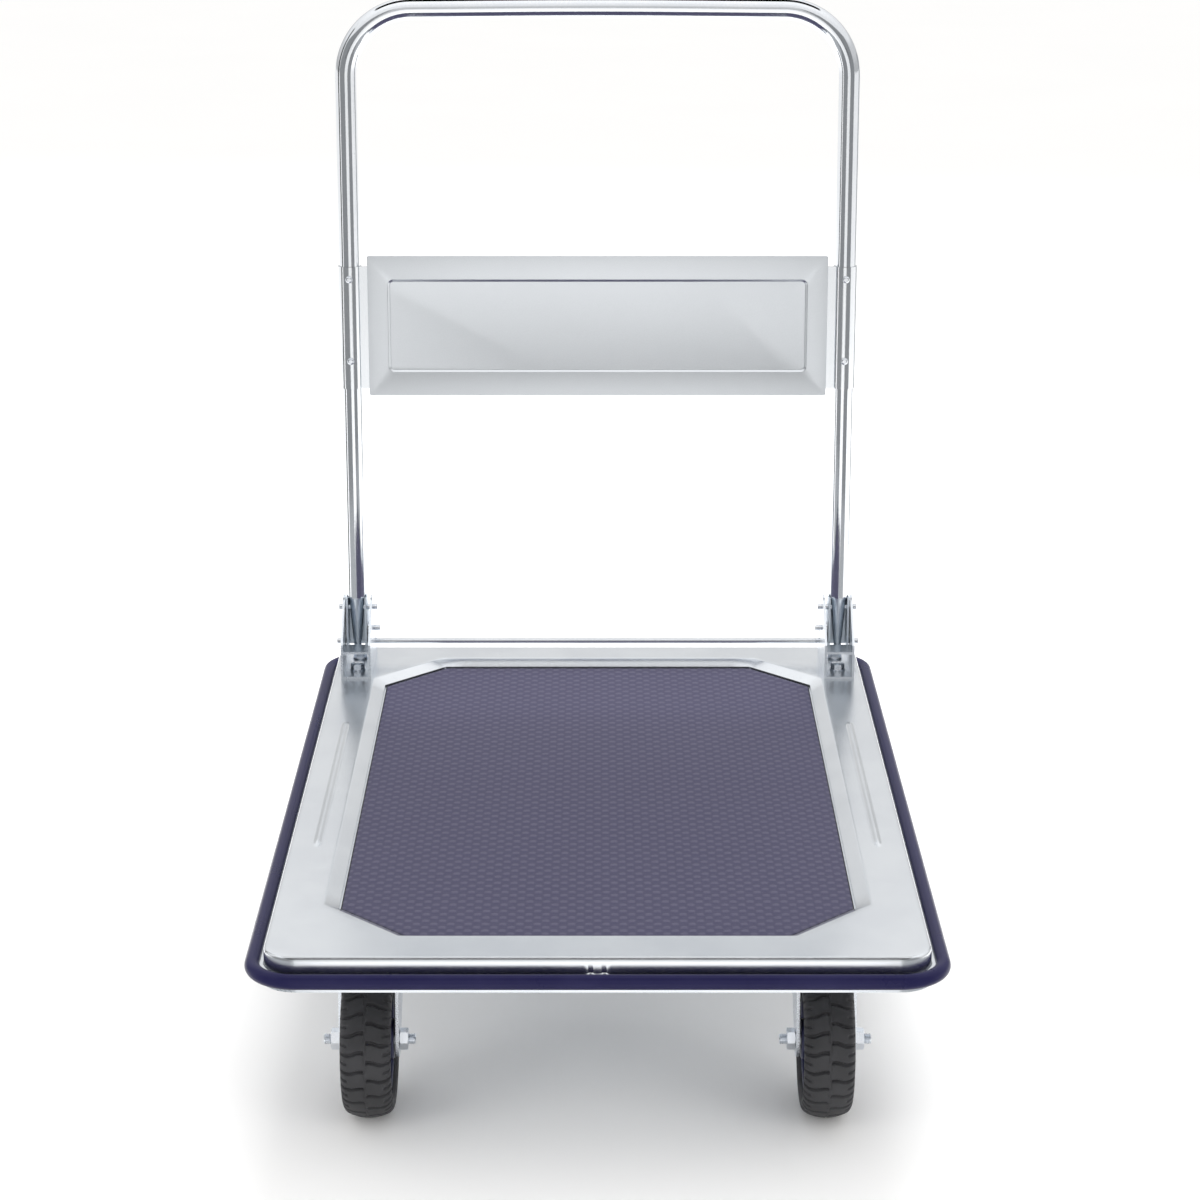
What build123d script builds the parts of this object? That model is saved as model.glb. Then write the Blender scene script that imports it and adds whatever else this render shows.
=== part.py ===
"""Flatbed platform truck with a fold-down push handle.

Millimetres, +Z up. The origin is on the floor, under the middle of the deck. The deck is long in Y, the
handle stands at the +Y end, and X is the truck's width. Each separate piece is written to parts/NODE.step.
"""

from build123d import *
import math
import os

# ---------------------------------------------------------------- overall
OVERALL_LENGTH = 890.0          # Y, over the edge bumper
OVERALL_WIDTH = 610.0           # X, over the edge bumper
DECK_HEIGHT = 195.0             # top of the deck above the floor

# ---------------------------------------------------------------- deck pressing
SHEET = 1.6                     # pressed deck sheet
DECK_DEPTH = 30.0               # deck top to the lower edge of the skirt
DECK_CORNER_R = 30.0            # raised wall, in plan
DECK_FOLD_R = 3.5               # top edge of the raised wall
DECK_LEDGE = 4.0                # raised wall to skirt
FLANGE_OUT = 4.0                # flange past the skirt, held in the bumper's slot
SKIRT_RETURN = 12.0             # turned-in lip at the foot of the skirt
BUMPER_D = 13.4                 # round nose of the bumper
BUMPER_DEPTH = 12.8             # flat back to nose
BUMPER_DROP = 17.6              # deck top to the middle of the bumper
BUMPER_FIT = 0.1                # all round the flange and behind the back

# ---------------------------------------------------------------- recess and mat
RECESS_SIDE = 45.2              # raised wall to the recess, at each side
RECESS_FRONT = 48.0             # at the front
RECESS_REAR = 42.0              # and at the handle end
RECESS_CHAMFER = 70.0           # cut corners of the octagon
BEVEL_RUN = 12.0                # sloping border of the recess, in plan
BEVEL_DROP = 6.0                # and in height, down to the mat
MAT_THICK = 3.0
MAT_GAP = 0.6                   # round the edge of the mat
BEAD_HALF_LENGTH = 175.0
BEAD_WIDTH = 9.0
BEAD_RISE = 2.4
BEAD_EDGE = 26.0                # raised wall to the middle of the bead
DART_WIDTH = 24.0               # stiffening dart in the front wall
DART_RUN = 3.4

# ---------------------------------------------------------------- casters
WHEEL_D = 140.0
TYRE_WIDTH = 45.0
TYRE_CROWN = 3.0                # fall of the tread from its middle to its shoulder
TYRE_SHOULDER_R = 9.0
TYRE_SHOULDER_ARC = 70.0        # degrees of the shoulder's bend
TYRE_WALL = 22.0                # tread to the rim's seat
RIM_WIDTH = 37.0
RIM_WALL = 4.0
RIM_LIP = 3.0
WEB_THICK = 8.0
HUB_D = 36.0
HUB_LENGTH = 44.0
BUSH_D = 22.0
SLEEVE_D = 14.0
AXLE_D = 10.0
AXLE_LENGTH = 82.4
AXLE_CHAMFER = 1.0
AXLE_NUT_AF = 17.0
AXLE_NUT_THICK = 8.0
CASTER_INSET = 83.9             # raised wall to the middle of each wheel
FORK_INSIDE = 47.8              # between the legs
FORK_SHEET = 2.8
FORK_END_R = 16.0               # rounded foot of a leg
FORK_REAR_ANGLE = -40.0         # where a leg's rear edge leaves its foot
FRONT_AXLE_INSET = 104.7        # raised wall to the fixed casters' axle
FIXED_TOP_FRONT = 4.0           # top of the fixed fork, ahead of its axle
FIXED_TOP_REAR = 125.0          # and behind it
KINGPIN_INSET = 143.2           # raised wall to the swivel casters' kingpin
SWIVEL_TRAIL = 42.0             # kingpin to axle
SWIVEL_TOP_HALF = 34.0
PLATE_X = 100.0
PLATE_Y = 130.0
PLATE_THICK = 4.0
PLATE_CORNER_R = 8.0
PLATE_BOLT_X = 40.0             # half the spacing of the plate's bolts
PLATE_BOLT_Y = 52.0
CASTER_BOLT_D = 8.0
CASTER_NUT_AF = 13.0
CASTER_NUT_THICK = 6.5
CASTER_HEAD_AF = 13.0
CASTER_HEAD_THICK = 5.3
BOLT_PROUD = 2.0                # every bolt's end past its nut
RACE_D = 62.0
RACE_HEIGHT = 8.0
RACE_CHAMFER = 2.6
KINGPIN_D = 12.0
KINGPIN_HEAD_D = 22.0
KINGPIN_HEAD_THICK = 5.0
KINGPIN_CHAMFER = 1.0

# ---------------------------------------------------------------- under the deck
CHANNEL_WIDTH = 144.0
CHANNEL_SHEET = 2.0
RIB_X = 95.0
RIB_WIDTH = 36.0
RIB_HEIGHT = 12.0

# ---------------------------------------------------------------- handle hinge
POST_INSET = 24.2               # raised side wall to the middle of each post
PIVOT_INSET = 62.2              # raised rear wall to the handle pin
PIVOT_RISE = 66.3               # handle pin above the deck top
BRACKET_FRONT = 52.0            # pin to the front of the bracket
BRACKET_REAR = 48.0             # and to its rear
CHEEK_GAP = 1.3                 # between the outer cheek and the knuckle
LEVER_GAP = 0.9                 # between a latch lever and the knuckle
BRACKET_SHEET = 2.5
BRACKET_FRONT_RISE = 38.0
BRACKET_REAR_RISE = 40.0
BRIDGE_RISE = 30.6
BRIDGE_RUN = 27.0
EAR_R = 13.5
PIN_D = 6.0
PIN_CHAMFER = 0.5
PIN_PROUD = 5.0                 # pin past the cheeks
BRACKET_BOLT_D = 8.0
BRACKET_BOLT_AF = 13.0
BRACKET_BOLT_HEAD = 5.5
WASHER_D = 17.0
WASHER_THICK = 1.6
BRACKET_BOLT_RUNS = (-26.0, 14.0)    # pin to the bolts

# ---------------------------------------------------------------- fold lock
STUB_FORWARD = 2.0              # stub ahead of the handle pin
STUB_RISE = 42.9
STUB_PROUD = 7.5
BAR_ARM = 37.1                  # stub to release bar
BAR_REST_ANGLE = -41.0          # released, below the horizontal
BAR_TRAVEL = 30.0               # up to the locked place
BAR_D = 6.0
BAR_END = 10.5                  # bar past the outer cheek
LEVER_SHEET = 2.5
LEVER_EYE_R = 7.0
TAIL_R = 46.0                   # foot of the knuckle, from the pin
TAIL_STEP_R = 41.5              # above the locking step
TAIL_STEP_ANGLE = -50.0
TAIL_TOP_ANGLE = -20.0

# ---------------------------------------------------------------- handle
LEAN = 2.0                      # degrees, back from the deck
POST_D = 22.2
POST_WALL = 1.5
POST_START = 12.0               # pin to the lower end of the tube
TOP_BAR_RISE = 648.0            # pin to the middle of the top bar
TOP_BAR_ARCH = 2.5
BEND_R = 70.0
ARCH_R = 9000.0
KNUCKLE_SHEET = 2.0
KNUCKLE_FRONT_LIP = 1.9         # knuckle ahead of the tube
KNUCKLE_BACK_LIP = 0.9          # and behind it
KNUCKLE_FOOT = 43.8             # below the pin
CORE_FIT = 0.3                  # between the core's top and the knuckle's cheeks
CORE_FOOT_D = 8.0
SPIGOT_FIT = 0.1                # radial, spigot in the tube
SPIGOT_LENGTH = 30.0
PANEL_END_GAP = 19.0            # panel's end to the middle of the post
PANEL_FOOT = 237.5              # above the pin
PANEL_HEIGHT = 150.5
PANEL_SHEET = 1.2
PANEL_CORNER_R = 2.0
PANEL_FORWARD = 8.0             # front of the panel, ahead of the posts' middle
EMBOSS_SIDE = 21.5
EMBOSS_END = 25.5
EMBOSS_DEPTH = 2.0
EMBOSS_SLOPE = 2.0
EMBOSS_R = 6.0
CLAMP_FOOT = 245.0
CLAMP_HEIGHT = 131.5
CLAMP_SHEET = 1.5
CLAMP_TONGUE = 20.0             # flange behind the panel
SCREW_RISES = (275.5, 363.5)
SCREW_D = 4.0
SCREW_HEAD_D = 7.6
SCREW_HEAD_THICK = 2.4
SCREW_DOME = 1.9                # rounding of the head
SCREW_LENGTH = 12.0

# ---------------------------------------------------------------- fits
RUNNING = 0.05                  # radial, pin or shaft that turns
SEAT = 0.02                     # radial, pin or bush that is pressed in
BOLT_FIT = 0.3                  # radial, bolt in its hole
SIDE_GAP = 0.5                  # between pieces that turn past each other
TOUCH = 0.05                    # between pieces that only rest on each other

# ---------------------------------------------------------------- worked out
HALF_X = OVERALL_WIDTH / 2
HALF_Y = OVERALL_LENGTH / 2
SKIRT_X = HALF_X - BUMPER_DEPTH
SKIRT_Y = HALF_Y - BUMPER_DEPTH
WALL_X = SKIRT_X - DECK_LEDGE
WALL_Y = SKIRT_Y - DECK_LEDGE
SKIRT_R = DECK_CORNER_R + DECK_LEDGE
FLANGE_TOP = DECK_HEIGHT - BUMPER_DROP + SHEET / 2
FLANGE_BOTTOM = FLANGE_TOP - SHEET
SKIRT_FOOT = DECK_HEIGHT - DECK_DEPTH
MAT_TOP = DECK_HEIGHT - BEVEL_DROP
RECESS_FLOOR = MAT_TOP - MAT_THICK
RECESS_UNDER = RECESS_FLOOR - SHEET
RECESS_HALF_X = WALL_X - RECESS_SIDE
RECESS_Y0 = -WALL_Y + RECESS_FRONT
RECESS_Y1 = WALL_Y - RECESS_REAR
CASTER_TOP = SKIRT_FOOT + SHEET
PLATE_FOOT = CASTER_TOP - PLATE_THICK
AXLE_Z = WHEEL_D / 2
RIM_D = WHEEL_D - 2 * TYRE_WALL
CASTER_X = WALL_X - CASTER_INSET
FRONT_AXLE_Y = -WALL_Y + FRONT_AXLE_INSET
KINGPIN_Y = WALL_Y - KINGPIN_INSET
FORK_HALF = FORK_INSIDE / 2 + FORK_SHEET
FIXED_PLATE_Y = FRONT_AXLE_Y + (FIXED_TOP_REAR - FIXED_TOP_FRONT) / 2
POST_X = WALL_X - POST_INSET
PIVOT_Y = WALL_Y - PIVOT_INSET
PIVOT_Z = DECK_HEIGHT + PIVOT_RISE
STUB_Y = PIVOT_Y - STUB_FORWARD
STUB_Z = DECK_HEIGHT + STUB_RISE
BRACKET_INNER_X = POST_X - POST_D / 2 - LEVER_GAP - LEVER_SHEET - SIDE_GAP - BRACKET_SHEET
BRACKET_OUTER_X = POST_X + POST_D / 2 + CHEEK_GAP + BRACKET_SHEET
BRACKET_X = (BRACKET_INNER_X + BRACKET_OUTER_X) / 2
BRACKET_FRONT_Y = PIVOT_Y - BRACKET_FRONT
BRACKET_REAR_Y = PIVOT_Y + BRACKET_REAR
BRACKET_BOLT_Y = [PIVOT_Y + run for run in BRACKET_BOLT_RUNS]
KNUCKLE_FRONT = POST_D / 2 + KNUCKLE_FRONT_LIP
KNUCKLE_BACK = POST_D / 2 + KNUCKLE_BACK_LIP
CORE_TOP_D = POST_D - 2 * (KNUCKLE_SHEET + CORE_FIT)
SPIGOT_D = POST_D - 2 * (POST_WALL + SPIGOT_FIT)
PANEL_WIDTH = 2 * (POST_X - PANEL_END_GAP)
SIDES = {"left": -1, "right": 1}
INSET_SHARE = 2 - math.sqrt(2)  # how much a 45 degree cut shortens for each unit of inset


# ---------------------------------------------------------------- shapes used throughout
def block(x0, x1, y0, y1, z0, z1):
    """A box between two corners."""
    return Pos((x0 + x1) / 2, (y0 + y1) / 2, (z0 + z1) / 2) * Box(x1 - x0, y1 - y0, z1 - z0)


def rod_x(radius, x0, x1, y, z):
    """A round bar along X."""
    return Pos((x0 + x1) / 2, y, z) * Rot(0, 90, 0) * Cylinder(radius, abs(x1 - x0))


def rod_z(radius, x, y, z0, z1):
    """A round bar along Z."""
    return Pos(x, y, (z0 + z1) / 2) * Cylinder(radius, z1 - z0)


def hex_z(across_flats, x, y, z0, z1):
    """A hexagonal prism along Z."""
    face = RegularPolygon(across_flats / 2, 6, major_radius=False)
    return Pos(x, y, z0) * extrude(face, z1 - z0)


def side_plate(profile, x0, x1):
    """A plate across X, cut to an outline drawn in Y and Z."""
    return extrude(Plane.YZ.offset(min(x0, x1)) * profile, abs(x1 - x0))


def slab(half_x, half_y, radius, z0, z1):
    """A rounded rectangle in plan, between two heights."""
    return Pos(0, 0, z0) * extrude(RectangleRounded(2 * half_x, 2 * half_y, radius), z1 - z0)


def octagon(inset):
    """The recess outline in plan, moved inwards by inset."""
    x = RECESS_HALF_X - inset
    y0, y1 = RECESS_Y0 + inset, RECESS_Y1 - inset
    cut = RECESS_CHAMFER - INSET_SHARE * inset
    right = [(x - cut, y0), (x, y0 + cut), (x, y1 - cut), (x - cut, y1)]
    left = [(-px, py) for px, py in reversed(right)]
    return make_face(Polyline(*right, *left, close=True))


def at_side(x, side):
    """X on the left or the right of the truck."""
    return SIDES[side] * x


# ---------------------------------------------------------------- deck
def caster_bolt_places():
    """Middle of every caster plate bolt, in plan."""
    for sign in SIDES.values():
        for plate_y in (FIXED_PLATE_Y, KINGPIN_Y):
            for dx in (-PLATE_BOLT_X, PLATE_BOLT_X):
                for dy in (-PLATE_BOLT_Y, PLATE_BOLT_Y):
                    yield sign * CASTER_X + dx, plate_y + dy


def bracket_bolt_places():
    """Middle of every bolt that holds a hinge bracket down, in plan."""
    for sign in SIDES.values():
        for y in BRACKET_BOLT_Y:
            yield sign * BRACKET_X, y


def bead(sign):
    """A raised stiffening bead with round ends, beside the recess."""
    radius = ((BEAD_WIDTH / 2) ** 2 + BEAD_RISE**2) / (2 * BEAD_RISE)
    x, z = sign * (WALL_X - BEAD_EDGE), DECK_HEIGHT + BEAD_RISE - radius
    half = BEAD_HALF_LENGTH - BEAD_WIDTH / 2
    body = Pos(x, 0, z) * Rot(90, 0, 0) * Cylinder(radius, 2 * half)
    for end in (-half, half):
        body += Pos(x, end, z) * Sphere(radius)
    above = block(x - radius, x + radius, -HALF_Y, HALF_Y, DECK_HEIGHT - SHEET / 2, DECK_HEIGHT + radius)
    return body & above


def front_dart():
    """A small triangular dart pressed across the foot of the front wall."""
    y, z = -WALL_Y, FLANGE_TOP
    profile = make_face(Polyline((y + SHEET, z), (y - DART_RUN, z), (y + SHEET, z + DART_RUN), close=True))
    return side_plate(profile, -DART_WIDTH / 2, DART_WIDTH / 2)


def deck_tray():
    """The pressed top: raised wall, outward flange, bevelled recess and beads."""
    outer = slab(WALL_X, WALL_Y, DECK_CORNER_R, FLANGE_BOTTOM, DECK_HEIGHT)
    outer = fillet(outer.faces().sort_by(Axis.Z)[-1].edges(), DECK_FOLD_R)
    inner = slab(WALL_X - SHEET, WALL_Y - SHEET, DECK_CORNER_R - SHEET, FLANGE_BOTTOM, DECK_HEIGHT - SHEET)
    inner = fillet(inner.faces().sort_by(Axis.Z)[-1].edges(), DECK_FOLD_R - SHEET)
    reach = DECK_LEDGE + FLANGE_OUT
    tray = outer + slab(WALL_X + reach, WALL_Y + reach, DECK_CORNER_R + reach, FLANGE_BOTTOM, FLANGE_TOP)
    tray -= inner
    # The sheet stays one thickness all round the recess, measured square to the bevel.
    skin = SHEET * (math.hypot(BEVEL_RUN, BEVEL_DROP) + BEVEL_DROP) / BEVEL_RUN
    skin_top = Pos(0, 0, DECK_HEIGHT) * octagon(-skin)
    skin_foot = Pos(0, 0, MAT_TOP) * octagon(BEVEL_RUN - skin)
    tray += loft([skin_top, skin_foot]) & block(-HALF_X, HALF_X, -HALF_Y, HALF_Y, RECESS_UNDER, DECK_HEIGHT)
    tray += Pos(0, 0, RECESS_UNDER) * extrude(octagon(BEVEL_RUN - skin), MAT_TOP - RECESS_UNDER)
    tray -= loft([Pos(0, 0, DECK_HEIGHT) * octagon(0), Pos(0, 0, MAT_TOP) * octagon(BEVEL_RUN)])
    tray -= Pos(0, 0, RECESS_FLOOR) * extrude(octagon(BEVEL_RUN), MAT_TOP - RECESS_FLOOR)
    for sign in SIDES.values():
        tray += bead(sign)
    tray += front_dart()
    for x, y in bracket_bolt_places():
        tray -= rod_z(BRACKET_BOLT_D / 2 + BOLT_FIT, x, y, FLANGE_BOTTOM, DECK_HEIGHT + SHEET)
    return tray


def deck_frame():
    """The skirt welded under the flange, with a turned-in lip at its foot."""
    foot, top = SKIRT_FOOT, FLANGE_BOTTOM - TOUCH
    inside = SKIRT_R - SHEET
    ring = slab(SKIRT_X, SKIRT_Y, SKIRT_R, foot, top)
    ring -= slab(SKIRT_X - SHEET, SKIRT_Y - SHEET, inside, foot + SHEET, top)
    ring -= slab(SKIRT_X - SKIRT_RETURN, SKIRT_Y - SKIRT_RETURN, SKIRT_R - SKIRT_RETURN, foot, top)
    return ring


def deck_mat():
    """The patterned mat, laid in the recess. Its face is flat here."""
    return Pos(0, 0, RECESS_FLOOR + TOUCH) * extrude(octagon(BEVEL_RUN + MAT_GAP), MAT_THICK - TOUCH)


def edge_bumper():
    """The bumper strip: a round nose with a flat back, and a slot that grips the flange."""
    radius = BUMPER_D / 2
    back = BUMPER_FIT
    nose = BUMPER_DEPTH - radius
    section = Pos(nose, 0) * Circle(radius)
    section &= Pos(back + BUMPER_D, 0) * Rectangle(2 * BUMPER_D, 2 * BUMPER_D)
    slot = 2 * (FLANGE_OUT + BUMPER_FIT)
    section -= Rectangle(slot, SHEET + 2 * BUMPER_FIT)
    path = Pos(0, 0, DECK_HEIGHT - BUMPER_DROP) * RectangleRounded(2 * SKIRT_X, 2 * SKIRT_Y, SKIRT_R).wire()
    seat = Plane(origin=(SKIRT_X, 0, DECK_HEIGHT - BUMPER_DROP), x_dir=(1, 0, 0), z_dir=(0, -1, 0))
    return sweep(seat * section, path=path)


def cross_channel(y):
    """A shallow channel across the deck that a pair of caster plates bolts to."""
    half_x = SKIRT_X - SHEET - TOUCH
    half_y = CHANNEL_WIDTH / 2
    top = RECESS_UNDER - TOUCH
    foot = CASTER_TOP + TOUCH
    channel = block(-half_x, half_x, y - half_y, y + half_y, foot, FLANGE_BOTTOM - TOUCH)
    channel += block(-RECESS_HALF_X, RECESS_HALF_X, y - half_y, y + half_y, foot, top)
    inner_y = half_y - CHANNEL_SHEET
    channel -= block(-half_x, half_x, y - inner_y, y + inner_y, foot + CHANNEL_SHEET, top)
    for x, bolt_y in caster_bolt_places():
        channel -= rod_z(CASTER_BOLT_D / 2 + BOLT_FIT, x, bolt_y, foot, foot + CHANNEL_SHEET)
    return channel


def deck_ribs():
    """Two top-hat ribs along the underside, between the cross channels."""
    y0 = FIXED_PLATE_Y + CHANNEL_WIDTH / 2 + TOUCH
    y1 = KINGPIN_Y - CHANNEL_WIDTH / 2 - TOUCH
    top = RECESS_UNDER - TOUCH
    ribs = []
    for sign in SIDES.values():
        x, half = sign * RIB_X, RIB_WIDTH / 2
        rib = block(x - half, x + half, y0, y1, top - RIB_HEIGHT, top)
        inner = half - CHANNEL_SHEET
        ribs.append(rib - block(x - inner, x + inner, y0, y1, top - RIB_HEIGHT + CHANNEL_SHEET, top))
    return Compound(ribs)


# ---------------------------------------------------------------- wheels
def wheel_places():
    """Name and axle place of each wheel: fixed at the front, swivelling at the handle end."""
    for side in SIDES:
        yield f"front_{side}", at_side(CASTER_X, side), FRONT_AXLE_Y
    for side in SIDES:
        yield f"rear_{side}", at_side(CASTER_X, side), KINGPIN_Y + SWIVEL_TRAIL


def turned(points, x, y):
    """A ring turned about the axle, from an outline of (distance along X, radius) points."""
    face = make_face(Plane.XZ * Polyline(*points, close=True))
    return Pos(x, y, AXLE_Z) * revolve(face, Axis.X)


def tyre(x, y):
    """The tyre, its crown falling to rounded shoulders, on the rim's seat between its lips."""
    half, seat = TYRE_WIDTH / 2, RIM_D / 2
    bead_half = RIM_WIDTH / 2 - RIM_LIP - TOUCH
    radius = WHEEL_D / 2
    shoulder = radius - TYRE_CROWN
    waist = (seat + RIM_LIP + TOUCH, shoulder - TYRE_SHOULDER_R)
    side = [(bead_half, seat + TOUCH), (bead_half, waist[0]), (half, waist[0] + RIM_LIP), (half, waist[1])]
    bend, turn = TYRE_SHOULDER_R, TYRE_SHOULDER_ARC
    outline = Polyline(*side)
    outline += JernArc(start=side[-1], tangent=(0, 1), radius=bend, arc_size=turn)
    end = outline.vertices().sort_by(Axis.Y)[-1]
    outline += ThreePointArc((end.X, end.Y), (0, radius), (-end.X, end.Y))
    outline += JernArc(start=(-half, waist[1]), tangent=(0, 1), radius=bend, arc_size=-turn)
    outline += Polyline(*[(-px, py) for px, py in side])
    outline += Line((-bead_half, seat + TOUCH), (bead_half, seat + TOUCH))
    face = make_face(Plane.XZ * outline)
    return Pos(x, y, AXLE_Z) * revolve(face, Axis.X)


def rim(x, y):
    """The rim: a lipped barrel, a web and a hub bored for the bush."""
    half, seat = RIM_WIDTH / 2, RIM_D / 2
    web, hub, bore = WEB_THICK / 2, HUB_D / 2, BUSH_D / 2 + SEAT
    hub_half = HUB_LENGTH / 2
    right = [
        (hub_half, bore), (hub_half, hub), (web, hub), (web, seat - RIM_WALL), (half, seat - RIM_WALL),
        (half, seat + RIM_LIP), (half - RIM_LIP, seat + RIM_LIP), (half - RIM_LIP, seat),
    ]
    left = [(-px, py) for px, py in reversed(right)]
    return turned(right + left, x, y)


def wheel_bush(x, y):
    """The plain bush pressed into the hub."""
    half = HUB_LENGTH / 2
    bore, outside = SLEEVE_D / 2 + RUNNING, BUSH_D / 2
    return turned([(-half, bore), (half, bore), (half, outside), (-half, outside)], x, y)


def axle_sleeve(x, y):
    """The sleeve that the legs clamp, and that the bush turns on."""
    half = FORK_INSIDE / 2 - TOUCH
    bore, outside = AXLE_D / 2 + BOLT_FIT, SLEEVE_D / 2
    return turned([(-half, bore), (half, bore), (half, outside), (-half, outside)], x, y)


def axle(x, y):
    """The threaded axle, a stud with chamfered ends."""
    half = AXLE_LENGTH / 2
    bar = rod_x(AXLE_D / 2, x - half, x + half, y, AXLE_Z)
    return chamfer(bar.edges(), AXLE_CHAMFER)


def axle_nuts(x, y):
    """The two nuts of one axle, against the outside of the legs."""
    nuts = []
    for sign in (-1, 1):
        start = FORK_HALF + TOUCH
        face = RegularPolygon(AXLE_NUT_AF / 2, 6, major_radius=False, rotation=30)
        nut = extrude(Plane.YZ * face, AXLE_NUT_THICK)
        nut -= rod_x(AXLE_D / 2 + SEAT, 0, AXLE_NUT_THICK, 0, 0)
        nuts.append(Pos(x + sign * start - (AXLE_NUT_THICK if sign < 0 else 0), y, AXLE_Z) * nut)
    return nuts


# ---------------------------------------------------------------- casters
def caster_plate(x, y):
    """A mounting plate with rounded corners and four bolt holes."""
    plate = Pos(x, y, PLATE_FOOT) * extrude(RectangleRounded(PLATE_X, PLATE_Y, PLATE_CORNER_R), PLATE_THICK)
    for dx in (-PLATE_BOLT_X, PLATE_BOLT_X):
        for dy in (-PLATE_BOLT_Y, PLATE_BOLT_Y):
            plate -= rod_z(CASTER_BOLT_D / 2 + BOLT_FIT, x + dx, y + dy, PLATE_FOOT, CASTER_TOP)
    return plate


def leg_outline(axle_y, top_front, top_rear, top_z):
    """A fork leg seen from the side: a round foot about the axle, widening to its top."""
    foot = Pos(axle_y, AXLE_Z) * Circle(FORK_END_R)
    rear = math.radians(FORK_REAR_ANGLE)
    points = [
        (axle_y - FORK_END_R, AXLE_Z),
        (axle_y + FORK_END_R * math.cos(rear), AXLE_Z + FORK_END_R * math.sin(rear)),
        (top_rear, top_z),
        (top_front, top_z),
    ]
    return foot + make_face(Polyline(*points, close=True))


def fork(x, axle_y, top_front, top_rear, top_z):
    """A pressed fork: two legs under a web, bored for the axle."""
    outline = leg_outline(axle_y, top_front, top_rear, top_z)
    inside = FORK_INSIDE / 2
    body = block(x - FORK_HALF, x + FORK_HALF, top_front, top_rear, top_z - FORK_SHEET, top_z)
    for sign in (-1, 1):
        body += side_plate(outline, x + sign * inside, x + sign * FORK_HALF)
    return body - rod_x(AXLE_D / 2 + BOLT_FIT, x - FORK_HALF, x + FORK_HALF, axle_y, AXLE_Z)


def fixed_fork(x):
    """A fixed caster's fork, welded to its plate."""
    y0, y1 = FRONT_AXLE_Y - FIXED_TOP_FRONT, FRONT_AXLE_Y + FIXED_TOP_REAR
    return fork(x, FRONT_AXLE_Y, y0, y1, PLATE_FOOT) + caster_plate(x, FIXED_PLATE_Y)


def swivel_plate(x):
    """A swivel caster's plate, bored for its kingpin."""
    hole = rod_z(KINGPIN_D / 2 + SEAT, x, KINGPIN_Y, PLATE_FOOT, CASTER_TOP)
    return caster_plate(x, KINGPIN_Y) - hole


def swivel_race(x):
    """The ball race housing under the plate, dished like a shallow cup."""
    top, foot = PLATE_FOOT - TOUCH, PLATE_FOOT - RACE_HEIGHT
    ring = rod_z(RACE_D / 2, x, KINGPIN_Y, foot, top)
    ring = chamfer(ring.faces().sort_by(Axis.Z)[0].edges(), RACE_CHAMFER)
    return ring - rod_z(KINGPIN_D / 2 + SEAT, x, KINGPIN_Y, foot, top)


def swivel_fork(x):
    """A swivel caster's fork, turning under the race about the kingpin."""
    top = PLATE_FOOT - RACE_HEIGHT - SIDE_GAP
    body = fork(x, KINGPIN_Y + SWIVEL_TRAIL, KINGPIN_Y - SWIVEL_TOP_HALF, KINGPIN_Y + SWIVEL_TOP_HALF, top)
    return body - rod_z(KINGPIN_D / 2 + RUNNING, x, KINGPIN_Y, top - FORK_SHEET, top)


def kingpin(x):
    """The kingpin: seated in the plate, headed under the fork's web."""
    web_foot = PLATE_FOOT - RACE_HEIGHT - SIDE_GAP - FORK_SHEET
    head_top = web_foot - SIDE_GAP
    pin = rod_z(KINGPIN_D / 2, x, KINGPIN_Y, head_top - KINGPIN_HEAD_THICK, CASTER_TOP)
    head = rod_z(KINGPIN_HEAD_D / 2, x, KINGPIN_Y, head_top - KINGPIN_HEAD_THICK, head_top)
    return pin + chamfer(head.edges(), KINGPIN_CHAMFER)


def caster_bolts():
    """Every caster plate bolt, its head inside the cross channel."""
    floor = CASTER_TOP + CHANNEL_SHEET + 2 * TOUCH
    foot = PLATE_FOOT - CASTER_NUT_THICK - BOLT_PROUD
    bolts = []
    for x, y in caster_bolt_places():
        head = hex_z(CASTER_HEAD_AF, x, y, floor, floor + CASTER_HEAD_THICK)
        bolts.append(head + rod_z(CASTER_BOLT_D / 2, x, y, foot, floor))
    return Compound(bolts)


def caster_nuts():
    """Every caster plate nut, under its plate."""
    top = PLATE_FOOT - TOUCH
    nuts = []
    for x, y in caster_bolt_places():
        nut = hex_z(CASTER_NUT_AF, x, y, top - CASTER_NUT_THICK, top)
        nuts.append(nut - rod_z(CASTER_BOLT_D / 2 + SEAT, x, y, top - CASTER_NUT_THICK, top))
    return Compound(nuts)


# ---------------------------------------------------------------- hinge and lock
def bar_place(travel):
    """Y and Z of the release bar's middle, after it has swung up by some degrees."""
    angle = math.radians(BAR_REST_ANGLE + travel)
    return STUB_Y + BAR_ARM * math.cos(angle), STUB_Z + BAR_ARM * math.sin(angle)


def bar_slot():
    """The curved slot that the release bar swings in."""
    half = BAR_D / 2 + SIDE_GAP
    ends = [bar_place(0), bar_place(BAR_TRAVEL)]
    middle = bar_place(BAR_TRAVEL / 2)
    track = ThreePointArc(ends[0], middle, ends[1])
    outline = Sketch() + trace(track, 2 * half)
    for end in ends:
        outline += Pos(*end) * Circle(half)
    return outline


def ear_tangent(point, sign):
    """Where a line from a point touches the round ear, on the chosen side."""
    dy, dz = point[0] - PIVOT_Y, point[1] - PIVOT_Z
    angle = math.atan2(dz, dy) + sign * math.acos(EAR_R / math.hypot(dy, dz))
    return PIVOT_Y + EAR_R * math.cos(angle), PIVOT_Z + EAR_R * math.sin(angle)


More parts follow.
